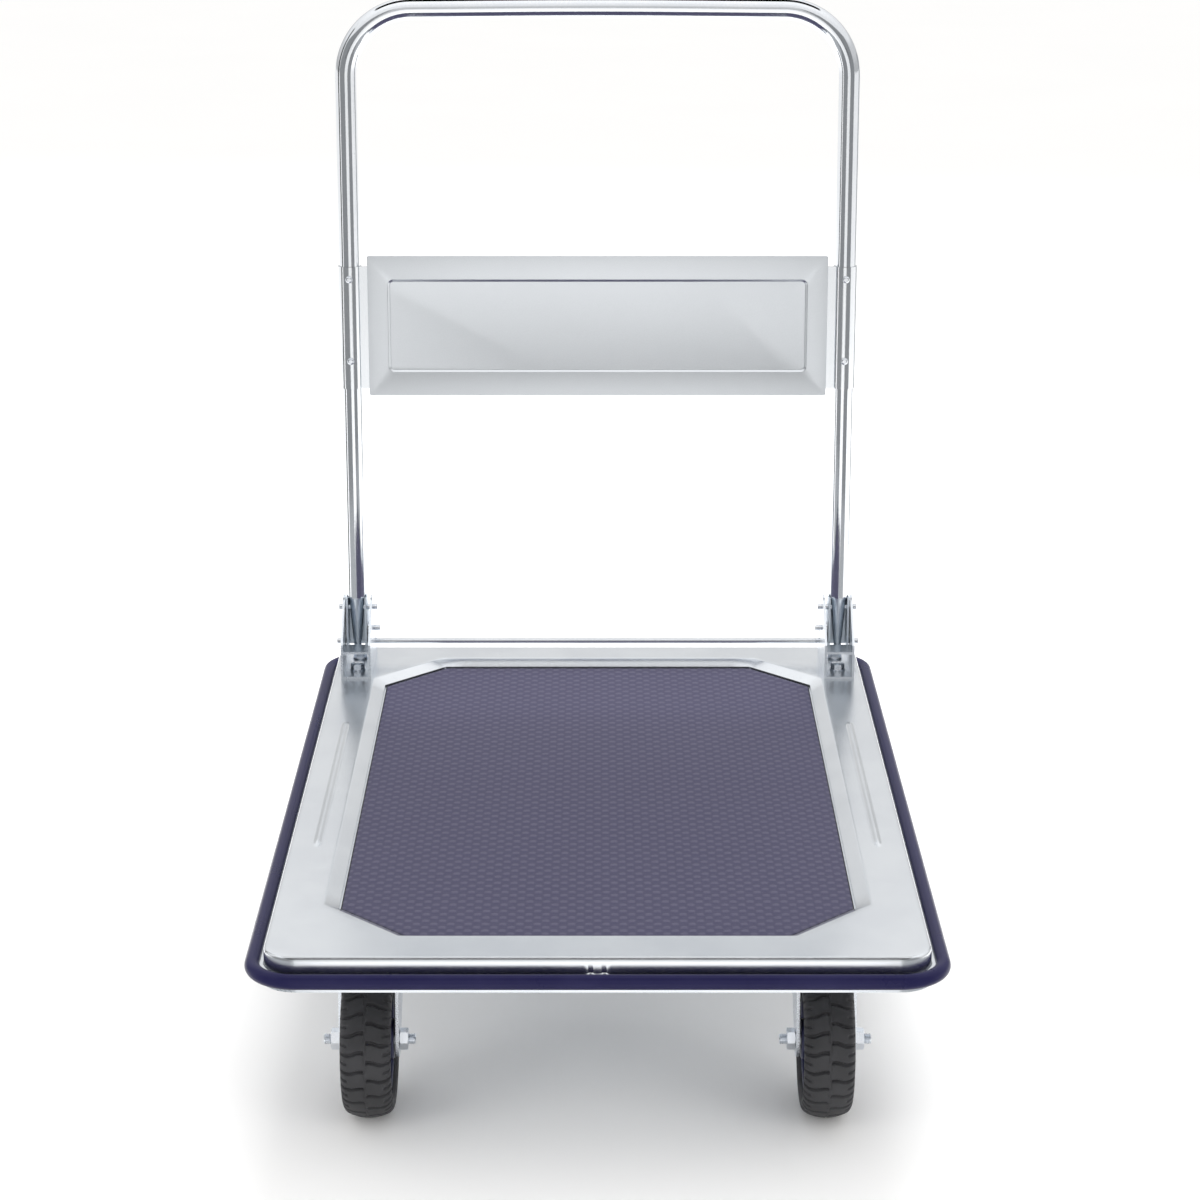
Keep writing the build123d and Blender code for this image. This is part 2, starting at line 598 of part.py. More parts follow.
def cheek_outline():
    """A hinge cheek from the side: a foot on the deck, rising to a round ear about the pin."""
    base = DECK_HEIGHT
    front = (BRACKET_FRONT_Y, base + BRACKET_FRONT_RISE)
    rear = (BRACKET_REAR_Y, base + BRACKET_REAR_RISE)
    points = [
        (BRACKET_FRONT_Y, base + TOUCH), (BRACKET_REAR_Y, base + TOUCH), rear,
        ear_tangent(rear, 1), (PIVOT_Y, PIVOT_Z), ear_tangent(front, -1), front,
    ]
    return make_face(Polyline(*points, close=True)) + Pos(PIVOT_Y, PIVOT_Z) * Circle(EAR_R)


def hinge_bracket(side):
    """A bracket bent from sheet: foot, two cheeks and a bridge across their front."""
    inner, outer = BRACKET_INNER_X, BRACKET_OUTER_X
    base = DECK_HEIGHT + TOUCH
    body = block(inner, outer, BRACKET_FRONT_Y, BRACKET_REAR_Y, base, base + BRACKET_SHEET)
    bridge_top = DECK_HEIGHT + BRIDGE_RISE
    bridge_end = BRACKET_FRONT_Y + BRIDGE_RUN
    body += block(inner, outer, BRACKET_FRONT_Y, bridge_end, bridge_top - BRACKET_SHEET, bridge_top)
    cheek = cheek_outline() - bar_slot()
    body += side_plate(cheek, inner, inner + BRACKET_SHEET)
    body += side_plate(cheek, outer - BRACKET_SHEET, outer)
    body -= rod_x(PIN_D / 2 + SEAT, inner, outer, PIVOT_Y, PIVOT_Z)
    body -= rod_x(PIN_D / 2 + SEAT, inner, inner + BRACKET_SHEET, STUB_Y, STUB_Z)
    for y in BRACKET_BOLT_Y:
        body -= rod_z(BRACKET_BOLT_D / 2 + BOLT_FIT, BRACKET_X, y, base, base + BRACKET_SHEET)
    return body if SIDES[side] > 0 else mirror(body, Plane.YZ)


def bracket_bolts():
    """The hexagon bolts that hold the brackets down."""
    bolts = []
    seat = DECK_HEIGHT + BRACKET_SHEET + WASHER_THICK + 3 * TOUCH
    foot = DECK_HEIGHT - SHEET - WASHER_THICK - CASTER_NUT_THICK - BOLT_PROUD
    for x, y in bracket_bolt_places():
        head = hex_z(BRACKET_BOLT_AF, x, y, seat, seat + BRACKET_BOLT_HEAD)
        bolts.append(head + rod_z(BRACKET_BOLT_D / 2, x, y, foot, seat))
    return Compound(bolts)


def bracket_washers():
    """A plain washer under each bolt head."""
    rings = []
    foot = DECK_HEIGHT + BRACKET_SHEET + 2 * TOUCH
    for x, y in bracket_bolt_places():
        ring = rod_z(WASHER_D / 2, x, y, foot, foot + WASHER_THICK)
        rings.append(ring - rod_z(BRACKET_BOLT_D / 2 + BOLT_FIT, x, y, foot, foot + WASHER_THICK))
    return Compound(rings)


def bracket_nuts():
    """A nut under the deck sheet on each bolt."""
    nuts = []
    top = DECK_HEIGHT - SHEET - TOUCH
    for x, y in bracket_bolt_places():
        nut = hex_z(BRACKET_BOLT_AF, x, y, top - CASTER_NUT_THICK, top)
        nuts.append(nut - rod_z(BRACKET_BOLT_D / 2 + SEAT, x, y, top - CASTER_NUT_THICK, top))
    return Compound(nuts)


def pivot_pin(side):
    """The pin that a post turns on, seated in both cheeks."""
    x0, x1 = at_side(BRACKET_INNER_X - PIN_PROUD, side), at_side(BRACKET_OUTER_X + PIN_PROUD, side)
    return chamfer(rod_x(PIN_D / 2, x0, x1, PIVOT_Y, PIVOT_Z).edges(), PIN_CHAMFER)


def latch_stub(side):
    """The stub pin that a latch lever turns on, seated in the inner cheek."""
    x0 = at_side(BRACKET_INNER_X - STUB_PROUD, side)
    x1 = at_side(BRACKET_INNER_X + BRACKET_SHEET + SIDE_GAP + LEVER_SHEET, side)
    return chamfer(rod_x(PIN_D / 2, x0, x1, STUB_Y, STUB_Z).edges(), PIN_CHAMFER)


def release_bar():
    """The bar across the truck that a foot lifts or drops."""
    end = BRACKET_OUTER_X + BAR_END
    y, z = bar_place(0)
    return chamfer(rod_x(BAR_D / 2, -end, end, y, z).edges(), PIN_CHAMFER)


def latch_lever(side):
    """A lever from the stub to the release bar, between the inner cheek and the knuckle."""
    x0 = at_side(BRACKET_INNER_X + BRACKET_SHEET + SIDE_GAP, side)
    x1 = x0 + SIDES[side] * LEVER_SHEET
    bar_y, bar_z = bar_place(0)
    arm = Line((STUB_Y, STUB_Z), (bar_y, bar_z))
    outline = Sketch() + trace(arm, 2 * LEVER_EYE_R)
    for y, z in ((STUB_Y, STUB_Z), (bar_y, bar_z)):
        outline += Pos(y, z) * Circle(LEVER_EYE_R)
    outline -= Pos(STUB_Y, STUB_Z) * Circle(PIN_D / 2 + RUNNING)
    outline -= Pos(bar_y, bar_z) * Circle(BAR_D / 2 + SEAT)
    return side_plate(outline, x0, x1)


# ---------------------------------------------------------------- handle, drawn upright about its pin
def stand(shape):
    """Carries a shape drawn about the pin to its place, leaning back from the deck."""
    return Pos(0, PIVOT_Y, PIVOT_Z) * Rot(-LEAN, 0, 0) * shape


def polar(radius, degrees):
    """A point at a distance and an angle from the pin."""
    return radius * math.cos(math.radians(degrees)), radius * math.sin(math.radians(degrees))


def tail_outline():
    """A knuckle cheek from the side: a plate round the pin with a stepped tail behind its foot."""
    front, foot, top = -KNUCKLE_FRONT, -KNUCKLE_FOOT, POST_START
    heel = (math.sqrt(TAIL_R**2 - foot**2), foot)
    start = math.degrees(math.atan2(foot, heel[0]))
    step = TAIL_STEP_ANGLE
    outline = Polyline((KNUCKLE_BACK, top), (front, top), (front, foot), heel)
    outline += ThreePointArc(heel, polar(TAIL_R, (start + step) / 2), polar(TAIL_R, step))
    outline += Line(polar(TAIL_R, step), polar(TAIL_STEP_R, step))
    outline += ThreePointArc(
        polar(TAIL_STEP_R, step), polar(TAIL_STEP_R, (step + TAIL_TOP_ANGLE) / 2),
        polar(TAIL_STEP_R, TAIL_TOP_ANGLE),
    )
    outline += Line(polar(TAIL_STEP_R, TAIL_TOP_ANGLE), (KNUCKLE_BACK, top))
    return make_face(outline)


def knuckle(side):
    """The foot of a post: a channel round a tapering core, with a spigot up into the tube."""
    x = at_side(POST_X, side)
    half = POST_D / 2
    outline = tail_outline()
    body = block(x - half, x + half, KNUCKLE_BACK - KNUCKLE_SHEET, KNUCKLE_BACK, -KNUCKLE_FOOT, POST_START)
    for sign in (-1, 1):
        body += side_plate(outline, x + sign * (half - KNUCKLE_SHEET), x + sign * half)
    core = Pos(x, 0, (POST_START - KNUCKLE_FOOT) / 2)
    core *= Cone(CORE_FOOT_D / 2, CORE_TOP_D / 2, KNUCKLE_FOOT + POST_START)
    body += core
    body += rod_z(SPIGOT_D / 2, x, 0, POST_START - KNUCKLE_SHEET, POST_START + SPIGOT_LENGTH)
    body -= rod_x(PIN_D / 2 + RUNNING, x - POST_D, x + POST_D, 0, 0)
    return stand(body)


def handle_line():
    """The middle line of the handle tube: up one post, across the arched top bar, down the other."""
    foot = POST_START + TOUCH
    shoulder = TOP_BAR_RISE - TOP_BAR_ARCH
    points = [
        (-POST_X, 0, foot), (-POST_X, 0, shoulder), (0, 0, TOP_BAR_RISE),
        (POST_X, 0, shoulder), (POST_X, 0, foot),
    ]
    return FilletPolyline(*points, radius=[BEND_R, ARCH_R, BEND_R])


def handle_tube():
    """The bent handle tube, open at both feet, drilled for the clamp screws."""
    line = handle_line()
    seat = Plane(origin=line @ 0, z_dir=line % 0)
    tube = sweep(seat * Circle(POST_D / 2), path=line)
    tube -= sweep(seat * Circle(POST_D / 2 - POST_WALL), path=line)
    for sign in SIDES.values():
        for rise in SCREW_RISES:
            drill = Cylinder(SCREW_D / 2 + SEAT, POST_D / 2)
            tube -= Pos(sign * POST_X, -POST_D / 2, rise) * Rot(90, 0, 0) * drill
    return stand(tube)


def handle_panel():
    """The panel across the posts, its middle pressed back inside a rounded border."""
    front, back = -PANEL_FORWARD, -PANEL_FORWARD + PANEL_SHEET
    middle = PANEL_FOOT + PANEL_HEIGHT / 2
    half_x, half_z = PANEL_WIDTH / 2 - EMBOSS_SIDE, PANEL_HEIGHT / 2 - EMBOSS_END

    def rounded(y, grow):
        """The pressed area's outline at a depth, grown outwards."""
        plane = Plane(origin=(0, y, middle), x_dir=(1, 0, 0), z_dir=(0, -1, 0))
        return plane * RectangleRounded(2 * (half_x + grow), 2 * (half_z + grow), EMBOSS_R + grow)

    plane = Plane(origin=(0, back, middle), x_dir=(1, 0, 0), z_dir=(0, -1, 0))
    sheet = extrude(plane * RectangleRounded(PANEL_WIDTH, PANEL_HEIGHT, PANEL_CORNER_R), PANEL_SHEET)
    sheet += loft([rounded(front, PANEL_SHEET), rounded(back + EMBOSS_DEPTH, PANEL_SHEET - EMBOSS_SLOPE)])
    sheet -= loft([rounded(front, 0), rounded(front + EMBOSS_DEPTH, -EMBOSS_SLOPE)])
    return stand(sheet)


def panel_clamp(side):
    """A clamp: sheet wrapped right round the post, with a doubled tongue behind the panel."""
    x = POST_X
    inside, outside = POST_D / 2 + TOUCH, POST_D / 2 + TOUCH + CLAMP_SHEET
    tongue_front = -PANEL_FORWARD + PANEL_SHEET + TOUCH
    tongue_end = PANEL_WIDTH / 2 - CLAMP_TONGUE
    section = Pos(x, 0) * Circle(outside)
    foot, top = CLAMP_FOOT, CLAMP_FOOT + CLAMP_HEIGHT
    tongue = block(tongue_end, x, tongue_front, tongue_front + 2 * CLAMP_SHEET, foot, top)
    body = Pos(0, 0, foot) * extrude(section, CLAMP_HEIGHT) + tongue
    body -= rod_z(inside, x, 0, foot, top)
    # The tongue stops short of the panel's pressed area, which stands proud behind it.
    press = PANEL_WIDTH / 2 - EMBOSS_SIDE + PANEL_SHEET + TOUCH
    deep = block(0, press, tongue_front, EMBOSS_DEPTH + tongue_front, PANEL_FOOT, PANEL_FOOT + PANEL_HEIGHT)
    body -= deep
    for rise in SCREW_RISES:
        body -= Pos(x, -outside, rise) * Rot(90, 0, 0) * Cylinder(SCREW_D / 2 + SEAT, POST_D / 2)
    return stand(body if SIDES[side] > 0 else mirror(body, Plane.YZ))


def clamp_screws():
    """Four domed screws through the clamps into the posts."""
    screws = []
    seat = -(POST_D / 2 + CLAMP_SHEET + 2 * TOUCH)
    for sign in SIDES.values():
        for rise in SCREW_RISES:
            head = Pos(sign * POST_X, seat - SCREW_HEAD_THICK / 2, rise) * Rot(90, 0, 0)
            head *= Cylinder(SCREW_HEAD_D / 2, SCREW_HEAD_THICK)
            head = fillet(head.faces().sort_by(Axis.Y)[0].edges(), SCREW_DOME)
            shank = Pos(sign * POST_X, seat + SCREW_LENGTH / 2, rise) * Rot(90, 0, 0)
            shank *= Cylinder(SCREW_D / 2, SCREW_LENGTH)
            screws.append(stand(head + shank))
    return Compound(screws)


# ---------------------------------------------------------------- all the pieces
def pieces():
    """Node name and shape of every piece."""
    yield "deck_tray", deck_tray()
    yield "deck_frame", deck_frame()
    yield "deck_mat", deck_mat()
    yield "edge_bumper", edge_bumper()
    yield "cross_channel_front", cross_channel(FIXED_PLATE_Y)
    yield "cross_channel_rear", cross_channel(KINGPIN_Y)
    yield "deck_ribs", deck_ribs()
    fixed_sleeves, fixed_nuts = [], []
    for name, x, y in wheel_places():
        yield f"tyre_{name}", tyre(x, y)
        yield f"rim_{name}", rim(x, y)
        yield f"bush_{name}", wheel_bush(x, y)
        yield f"axle_{name}", axle(x, y)
        if y == FRONT_AXLE_Y:
            fixed_sleeves.append(axle_sleeve(x, y))
            fixed_nuts += axle_nuts(x, y)
        else:
            yield f"sleeve_{name}", axle_sleeve(x, y)
            yield f"axle_nuts_{name}", Compound(axle_nuts(x, y))
    yield "sleeves_front", Compound(fixed_sleeves)
    yield "axle_nuts_front", Compound(fixed_nuts)
    yield "caster_bolts", caster_bolts()
    yield "caster_nuts", caster_nuts()
    yield "bracket_bolts", bracket_bolts()
    yield "bracket_washers", bracket_washers()
    yield "bracket_nuts", bracket_nuts()
    yield "latch_stubs", Compound([latch_stub(side) for side in SIDES])
    yield "release_bar", release_bar()
    yield "handle_tube", handle_tube()
    yield "handle_panel", handle_panel()
    yield "clamp_screws", clamp_screws()
    for side in SIDES:
        x = at_side(CASTER_X, side)
        yield f"fixed_fork_{side}", fixed_fork(x)
        yield f"swivel_plate_{side}", swivel_plate(x)
        yield f"swivel_race_{side}", swivel_race(x)
        yield f"swivel_fork_{side}", swivel_fork(x)
        yield f"kingpin_{side}", kingpin(x)
        yield f"hinge_bracket_{side}", hinge_bracket(side)
        yield f"pivot_pin_{side}", pivot_pin(side)
        yield f"latch_lever_{side}", latch_lever(side)
        yield f"knuckle_{side}", knuckle(side)
        yield f"panel_clamp_{side}", panel_clamp(side)


os.makedirs("parts", exist_ok=True)
for node, shape in pieces():
    export_step(shape, f"parts/{node}.step")
    print(node, len(shape.solids()), round(sum(s.volume for s in shape.solids())))
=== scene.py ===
"""Flatbed platform truck: the surfaces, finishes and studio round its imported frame.

Every size is in millimetres in the truck's own frame, +Z up, with the handle at the +Y end. A piece's points
are turned into metres as its mesh is made, and its object sits at the origin.
"""

import logging  # noqa: E402
import math  # noqa: E402
from dataclasses import dataclass  # noqa: E402
from enum import Enum  # noqa: E402
from typing import Any, Union  # noqa: E402

import bmesh  # noqa: E402
import bpy  # noqa: E402
import numpy as np  # noqa: E402
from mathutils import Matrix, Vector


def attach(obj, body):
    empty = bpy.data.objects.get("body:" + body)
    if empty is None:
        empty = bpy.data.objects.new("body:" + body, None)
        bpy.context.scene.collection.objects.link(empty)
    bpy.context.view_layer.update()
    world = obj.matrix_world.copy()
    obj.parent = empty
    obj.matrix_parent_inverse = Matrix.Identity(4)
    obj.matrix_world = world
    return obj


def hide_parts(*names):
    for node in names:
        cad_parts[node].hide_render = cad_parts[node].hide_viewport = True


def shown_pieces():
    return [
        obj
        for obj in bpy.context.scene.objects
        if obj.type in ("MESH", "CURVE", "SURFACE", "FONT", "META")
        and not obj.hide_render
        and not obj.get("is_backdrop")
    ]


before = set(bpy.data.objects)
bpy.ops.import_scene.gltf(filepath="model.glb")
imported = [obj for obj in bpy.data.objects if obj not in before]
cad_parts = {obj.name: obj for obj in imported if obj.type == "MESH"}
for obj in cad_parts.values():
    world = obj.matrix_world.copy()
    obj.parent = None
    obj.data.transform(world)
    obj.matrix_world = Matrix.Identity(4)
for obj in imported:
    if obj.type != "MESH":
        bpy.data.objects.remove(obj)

log = logging.getLogger("platform_truck")

MM = 0.001
Array = np.ndarray
Colour = tuple[float, float, float, float]
Number = Union[float, "Wire"]


# ---------------------------------------------------------------- meshes
class Edges(Enum):
    """How the edges of a piece are shaded: the angle in degrees past which an edge stays sharp."""

    ROUND = 180.0
    FOLDED = 38.0
    CRISP = 24.0


class Skin:
    """Grids of points that are joined into one closed mesh."""

    def __init__(self) -> None:
        """Starts with no points."""
        self._points: list[Array] = []
        self._faces: list[list[int]] = []
        self._count = 0

    def _take(self, points: Array) -> Array:
        """Stores points and gives their numbers, in the shape of the grid.

        Args:
            points: Any grid of XYZ points.

        Returns:
            The number of each point.
        """
        flat = np.asarray(points, float).reshape(-1, 3)
        index = np.arange(len(flat)) + self._count
        self._points.append(flat)
        self._count += len(flat)
        return index.reshape(points.shape[:-1])

    def grid(self, points: Array, wrap_rows: bool = False, wrap_columns: bool = False) -> "Skin":
        """Adds the quads between neighbouring points of a grid.

        Args:
            points: Rows by columns by XYZ.
            wrap_rows: Joins the last row to the first.
            wrap_columns: Joins the last column to the first.

        Returns:
            This skin.
        """
        index = self._take(points)
        if wrap_rows:
            index = np.vstack([index, index[:1]])
        if wrap_columns:
            index = np.hstack([index, index[:, :1]])
        corners = [index[:-1, :-1], index[1:, :-1], index[1:, 1:], index[:-1, 1:]]
        self._faces += np.stack(corners, -1).reshape(-1, 4).tolist()
        return self

    def cap(self, loop: Array) -> "Skin":
        """Adds one flat face inside a convex loop of points.

        Args:
            loop: The points in order round the face.

        Returns:
            This skin.
        """
        self._faces.append(self._take(loop).tolist())
        return self

    def shell(self, outer: Array, inner: Array) -> "Skin":
        """Adds two matching grids and the strips that join their borders, as a sheet with thickness.

        Args:
            outer: Rows by columns by XYZ on one face.
            inner: The same on the other.

        Returns:
            This skin.
        """
        self.grid(outer).grid(inner)
        for a, b in ((outer[0], inner[0]), (outer[-1], inner[-1])):
            self.grid(np.stack([a, b]))
        for a, b in ((outer[:, 0], inner[:, 0]), (outer[:, -1], inner[:, -1])):
            self.grid(np.stack([a, b]))
        return self

    def piece(self, name: str, edges: Edges = Edges.FOLDED) -> bpy.types.Object:
        """Joins coincident points, turns the faces outwards and makes the object.

        Args:
            name: Name of the piece.
            edges: How its edges are shaded.

        Returns:
            The object, at the origin.
        """
        mesh = bpy.data.meshes.new(name)
        mesh.from_pydata((np.vstack(self._points) * MM).tolist(), [], self._faces)
        solid = bmesh.new()
        solid.from_mesh(mesh)
        bmesh.ops.remove_doubles(solid, verts=solid.verts, dist=2e-6)
        bmesh.ops.dissolve_degenerate(solid, edges=solid.edges, dist=1e-7)
        bmesh.ops.recalc_face_normals(solid, faces=solid.faces)
        solid.to_mesh(mesh)
        solid.free()
        mesh.polygons.foreach_set("use_smooth", np.ones(len(mesh.polygons), bool))
        if edges is not Edges.ROUND:
            mesh.set_sharp_from_angle(angle=math.radians(edges.value))
        mesh.update()
        made = bpy.data.objects.new(name, mesh)
        bpy.context.scene.collection.objects.link(made)
        return made


@dataclass(frozen=True)
class Steps:
    """Where an outline is sampled: shares along its front, right, rear and left sides, and along a corner."""

    front: Array
    right: Array
    rear: Array
    left: Array
    corner: Array

    @staticmethod
    def even(along_x: int, along_y: int, corner: int) -> "Steps":
        """Even steps, as many as asked for on each kind of side."""
        x, y, c = (np.linspace(0, 1, n, endpoint=False) for n in (along_x, along_y, corner))
        return Steps(x, y, x, y, c)

    @property
    def sides(self) -> tuple[Array, Array, Array, Array]:
        """The four sides in order."""
        return self.front, self.right, self.rear, self.left


@dataclass(frozen=True)
class Ring:
    """An outline in plan with four equal corners, rounded or cut straight, in millimetres."""

    half_x: float
    y0: float
    y1: float
    cut: float
    rounded: bool = True
    x: float = 0.0

    def points(self, steps: Steps) -> Array:
        """Points round the outline: straight lines along the sides, a quarter turn or a line at each corner.

        Args:
            steps: Where it is sampled.

        Returns:
            Points by XY, anticlockwise from the left end of the front.
        """
        h, a, b, c = self.half_x, self.y0, self.y1, self.cut
        ends = np.array([
            [-h + c, a], [h - c, a], [h, a + c], [h, b - c],
            [h - c, b], [-h + c, b], [-h, b - c], [-h, a + c],
        ])
        centres = np.array([[h - c, a + c], [h - c, b - c], [-h + c, b - c], [-h + c, a + c]])
        parts = []
        for k in range(4):
            start, stop, after = ends[2 * k], ends[2 * k + 1], ends[(2 * k + 2) % 8]
            parts.append(start + (stop - start) * steps.sides[k][:, None])
            if self.rounded:
                angle = (steps.corner + k - 1) * math.pi / 2
                parts.append(centres[k] + c * np.stack([np.cos(angle), np.sin(angle)], -1))
            else:
                parts.append(stop + (after - stop) * steps.corner[:, None])
        return np.vstack(parts) + np.array([self.x, 0.0])

    def at(self, z: float, steps: Steps) -> Array:
        """The outline's points at a height."""
        plan = self.points(steps)
        return np.column_stack([plan, np.full(len(plan), z)])


def arc(centre: tuple[float, float], radius: float, start: float, stop: float, count: int) -> Array:
    """Points on a circular arc: the centre plus the radius times (cosine, sine) of an even run of angles.

    Args:
        centre: The middle of the arc.
        radius: Its radius.
        start: First angle in degrees.
        stop: Last angle in degrees.
        count: How many points.

    Returns:
        Points by two.
    """
    angle = np.radians(np.linspace(start, stop, count))
    return np.array(centre) + radius * np.stack([np.cos(angle), np.sin(angle)], -1)


def smooth(value: Array, low: float, high: float) -> Array:
    """A rise from 0 at low to 1 at high with no kink: 3t squared less 2t cubed."""
    t = np.clip((value - low) / (high - low), 0, 1)
    return t * t * (3 - 2 * t)


def lathe_x(profile: Array, x: float, y: float, z: float, count: int) -> Array:
    """Carries (distance along X, radius) points round an axis along X: y is the radius times the cosine of
    the turn, z the radius times its sine.

    Args:
        profile: Points by two.
        x: Where the axis stands.
        y: Where the axis stands.
        z: Where the axis stands.
        count: Steps round the axis.

    Returns:
        Steps by points by XYZ. The steps close on themselves.
    """
    turn = np.linspace(0, 2 * math.pi, count, endpoint=False)[:, None]
    along, radius = profile[None, :, 0], profile[None, :, 1]
    shape = (count, len(profile))
    return np.stack([
        np.broadcast_to(x + along, shape), y + radius * np.cos(turn), z + radius * np.sin(turn),
    ], -1)


# ---------------------------------------------------------------- finishes
class Wire:
    """A shader socket that takes part in sums: each operator adds one Math node."""

    def __init__(self, sheet: "NodeSheet", socket: bpy.types.NodeSocket) -> None:
        """Keeps the socket and the sheet that it is on."""
        self.sheet, self.socket = sheet, socket

    def _join(self, operation: str, *terms: Number, clamp: bool = False) -> "Wire":
        """One Math node on some terms."""
        settings = {"operation": operation, "use_clamp": clamp}
        return self.sheet.node("ShaderNodeMath", settings, dict(enumerate(terms)))

    def __add__(self, other: Number) -> "Wire":
        """This plus another."""
        return self._join("ADD", self, other)

    def __radd__(self, other: Number) -> "Wire":
        """Another plus this."""
        return self._join("ADD", other, self)

    def __sub__(self, other: Number) -> "Wire":
        """This less another."""
        return self._join("SUBTRACT", self, other)

    def __rsub__(self, other: Number) -> "Wire":
        """Another less this."""
        return self._join("SUBTRACT", other, self)

    def __mul__(self, other: Number) -> "Wire":
        """This times another."""
        return self._join("MULTIPLY", self, other)

    def __rmul__(self, other: Number) -> "Wire":
        """Another times this."""
        return self._join("MULTIPLY", other, self)

    def cosine(self) -> "Wire":
        """Its cosine."""
        return self._join("COSINE", self)

    def held(self) -> "Wire":
        """The same, kept from 0 to 1."""
        return self._join("ADD", self, 0.0, clamp=True)

    def between(self, low: float, high: float) -> "Wire":
        """A rise from 0 at low to 1 at high, with no kink."""
        settings = {"interpolation_type": "SMOOTHSTEP"}
        return self.sheet.node("ShaderNodeMapRange", settings, {0: self, 1: low, 2: high})


class NodeSheet:
    """The node tree of one material, with a Principled shader at its end."""

    def __init__(self, name: str) -> None:
        """Makes an empty material."""
        self.owner = bpy.data.materials.new(name)
        self.owner.use_nodes = True
        self.tree = self.owner.node_tree
        self.tree.nodes.clear()
        self.shader = self.tree.nodes.new("ShaderNodeBsdfPrincipled")
        output = self.tree.nodes.new("ShaderNodeOutputMaterial")
        self.tree.links.new(self.shader.outputs[0], output.inputs[0])

    def _feed(self, target: bpy.types.Node, inputs: dict[Union[int, str], Any]) -> None:
        """Sets or links the sockets of a node.

        Args:
            target: The node.
            inputs: Socket name or number to a value or a Wire.
        """
        for key, value in inputs.items():
            if isinstance(value, Wire):
                self.tree.links.new(value.socket, target.inputs[key])
            else:
                target.inputs[key].default_value = value

    def node(
        self, kind: str, settings: dict[str, Any], inputs: dict[Union[int, str], Any],
        output: Union[int, str] = 0,
    ) -> Wire:
        """Adds any node.

        Args:
            kind: The node's type.
            settings: Its own settings.
            inputs: Socket name or number to a value or a Wire.
            output: Which output is wanted.

        Returns:
            That output.
        """
        made = self.tree.nodes.new(kind)
        for key, value in settings.items():
            setattr(made, key, value)
        self._feed(made, inputs)
        return Wire(self, made.outputs[output])

    def place(self, scale: tuple[float, float, float] = (1, 1, 1)) -> Wire:
        """Object coordinates, stretched along each axis."""
        base = self.node("ShaderNodeTexCoord", {}, {}, "Object")
        if scale == (1, 1, 1):
            return base
        return self.node("ShaderNodeMapping", {}, {0: base, "Scale": scale})

    def noise(self, scale: float, detail: float = 2.0, rough: float = 0.5,
              stretch: tuple[float, float, float] = (1, 1, 1)) -> Wire:
        """Fractal noise on Object coordinates, about 0.5 in the middle.

        Args:
            scale: Waves per metre.
            detail: How many finer layers.
            rough: How strong the finer layers are.
            stretch: Stretch of the coordinates.

        Returns:
            The noise.
        """
        inputs = {0: self.place(stretch), "Scale": scale, "Detail": detail, "Roughness": rough}
        return self.node("ShaderNodeTexNoise", {}, inputs)

    def mix(self, factor: Number, first: Union[Colour, Wire], second: Union[Colour, Wire]) -> Wire:
        """A colour between two.

        Args:
            factor: 0 for the first, 1 for the second.
            first: A colour.
            second: Another.

        Returns:
            The mixed colour.
        """
        return self.node("ShaderNodeMix", {"data_type": "RGBA"}, {0: factor, 6: first, 7: second}, 2)

    def bump(self, height: Wire, distance: float, strength: float = 1.0) -> Wire:
        """A normal that follows a height, whose full scale is some metres."""
        inputs = {"Height": height, "Distance": distance, "Strength": strength}
        return self.node("ShaderNodeBump", {}, inputs)

    def finish(self, **inputs: Any) -> bpy.types.Material:
        """Feeds the shader, with spaces in socket names as underscores, and gives the material."""
        self._feed(self.shader, {key.replace("_", " "): value for key, value in inputs.items()})
        return self.owner


class SkySheet(NodeSheet):
    """The node tree of the world, with its Background shader at its end."""

    def __init__(self, name: str) -> None:
        """Makes a world with nodes and hangs it in the scene."""
        self.owner = bpy.data.worlds.new(name)
        self.owner.use_nodes = True
        self.tree = self.owner.node_tree
        self.shader = self.tree.nodes["Background"]
        bpy.context.scene.world = self.owner

    def height(self) -> Wire:
        """How high a direction points: the sine of its elevation."""
        way = self.node("ShaderNodeTexCoord", {}, {}, "Generated")
        return self.node("ShaderNodeSeparateXYZ", {}, {0: way}, 2)


@dataclass(frozen=True)
class Zinc:
    """Zinc-plated steel: a bright metal with fine grain, soft blotches and faint draw lines."""

    name: str
    colour: Colour = (0.80, 0.83, 0.87, 1.0)
    shade: Colour = (0.66, 0.70, 0.76, 1.0)
    roughness: float = 0.24
    uneven: float = 0.10
    grain: float = 900.0
    grain_depth: float = 0.00002
    stretch: tuple[float, float, float] = (1, 1, 1)

    def build(self) -> bpy.types.Material:
        """Makes the material: blotches shift its tone, grain its roughness and its normal."""
        sheet = NodeSheet(self.name)
        blotch = sheet.noise(14.0, 3.0, 0.55).between(0.32, 0.68)
        grain = sheet.noise(self.grain, 2.0, 0.6, self.stretch)
        speck = grain.between(0.38, 0.62)
        tone = sheet.mix((blotch * 0.6 + speck * 0.4).held(), self.shade, self.colour)
        rough = self.roughness + self.uneven * (speck * 0.6 + blotch * 0.4) - self.uneven * 0.5
        normal = sheet.bump(grain, self.grain_depth)
        return sheet.finish(Base_Color=tone, Metallic=1.0, Roughness=rough, Normal=normal)


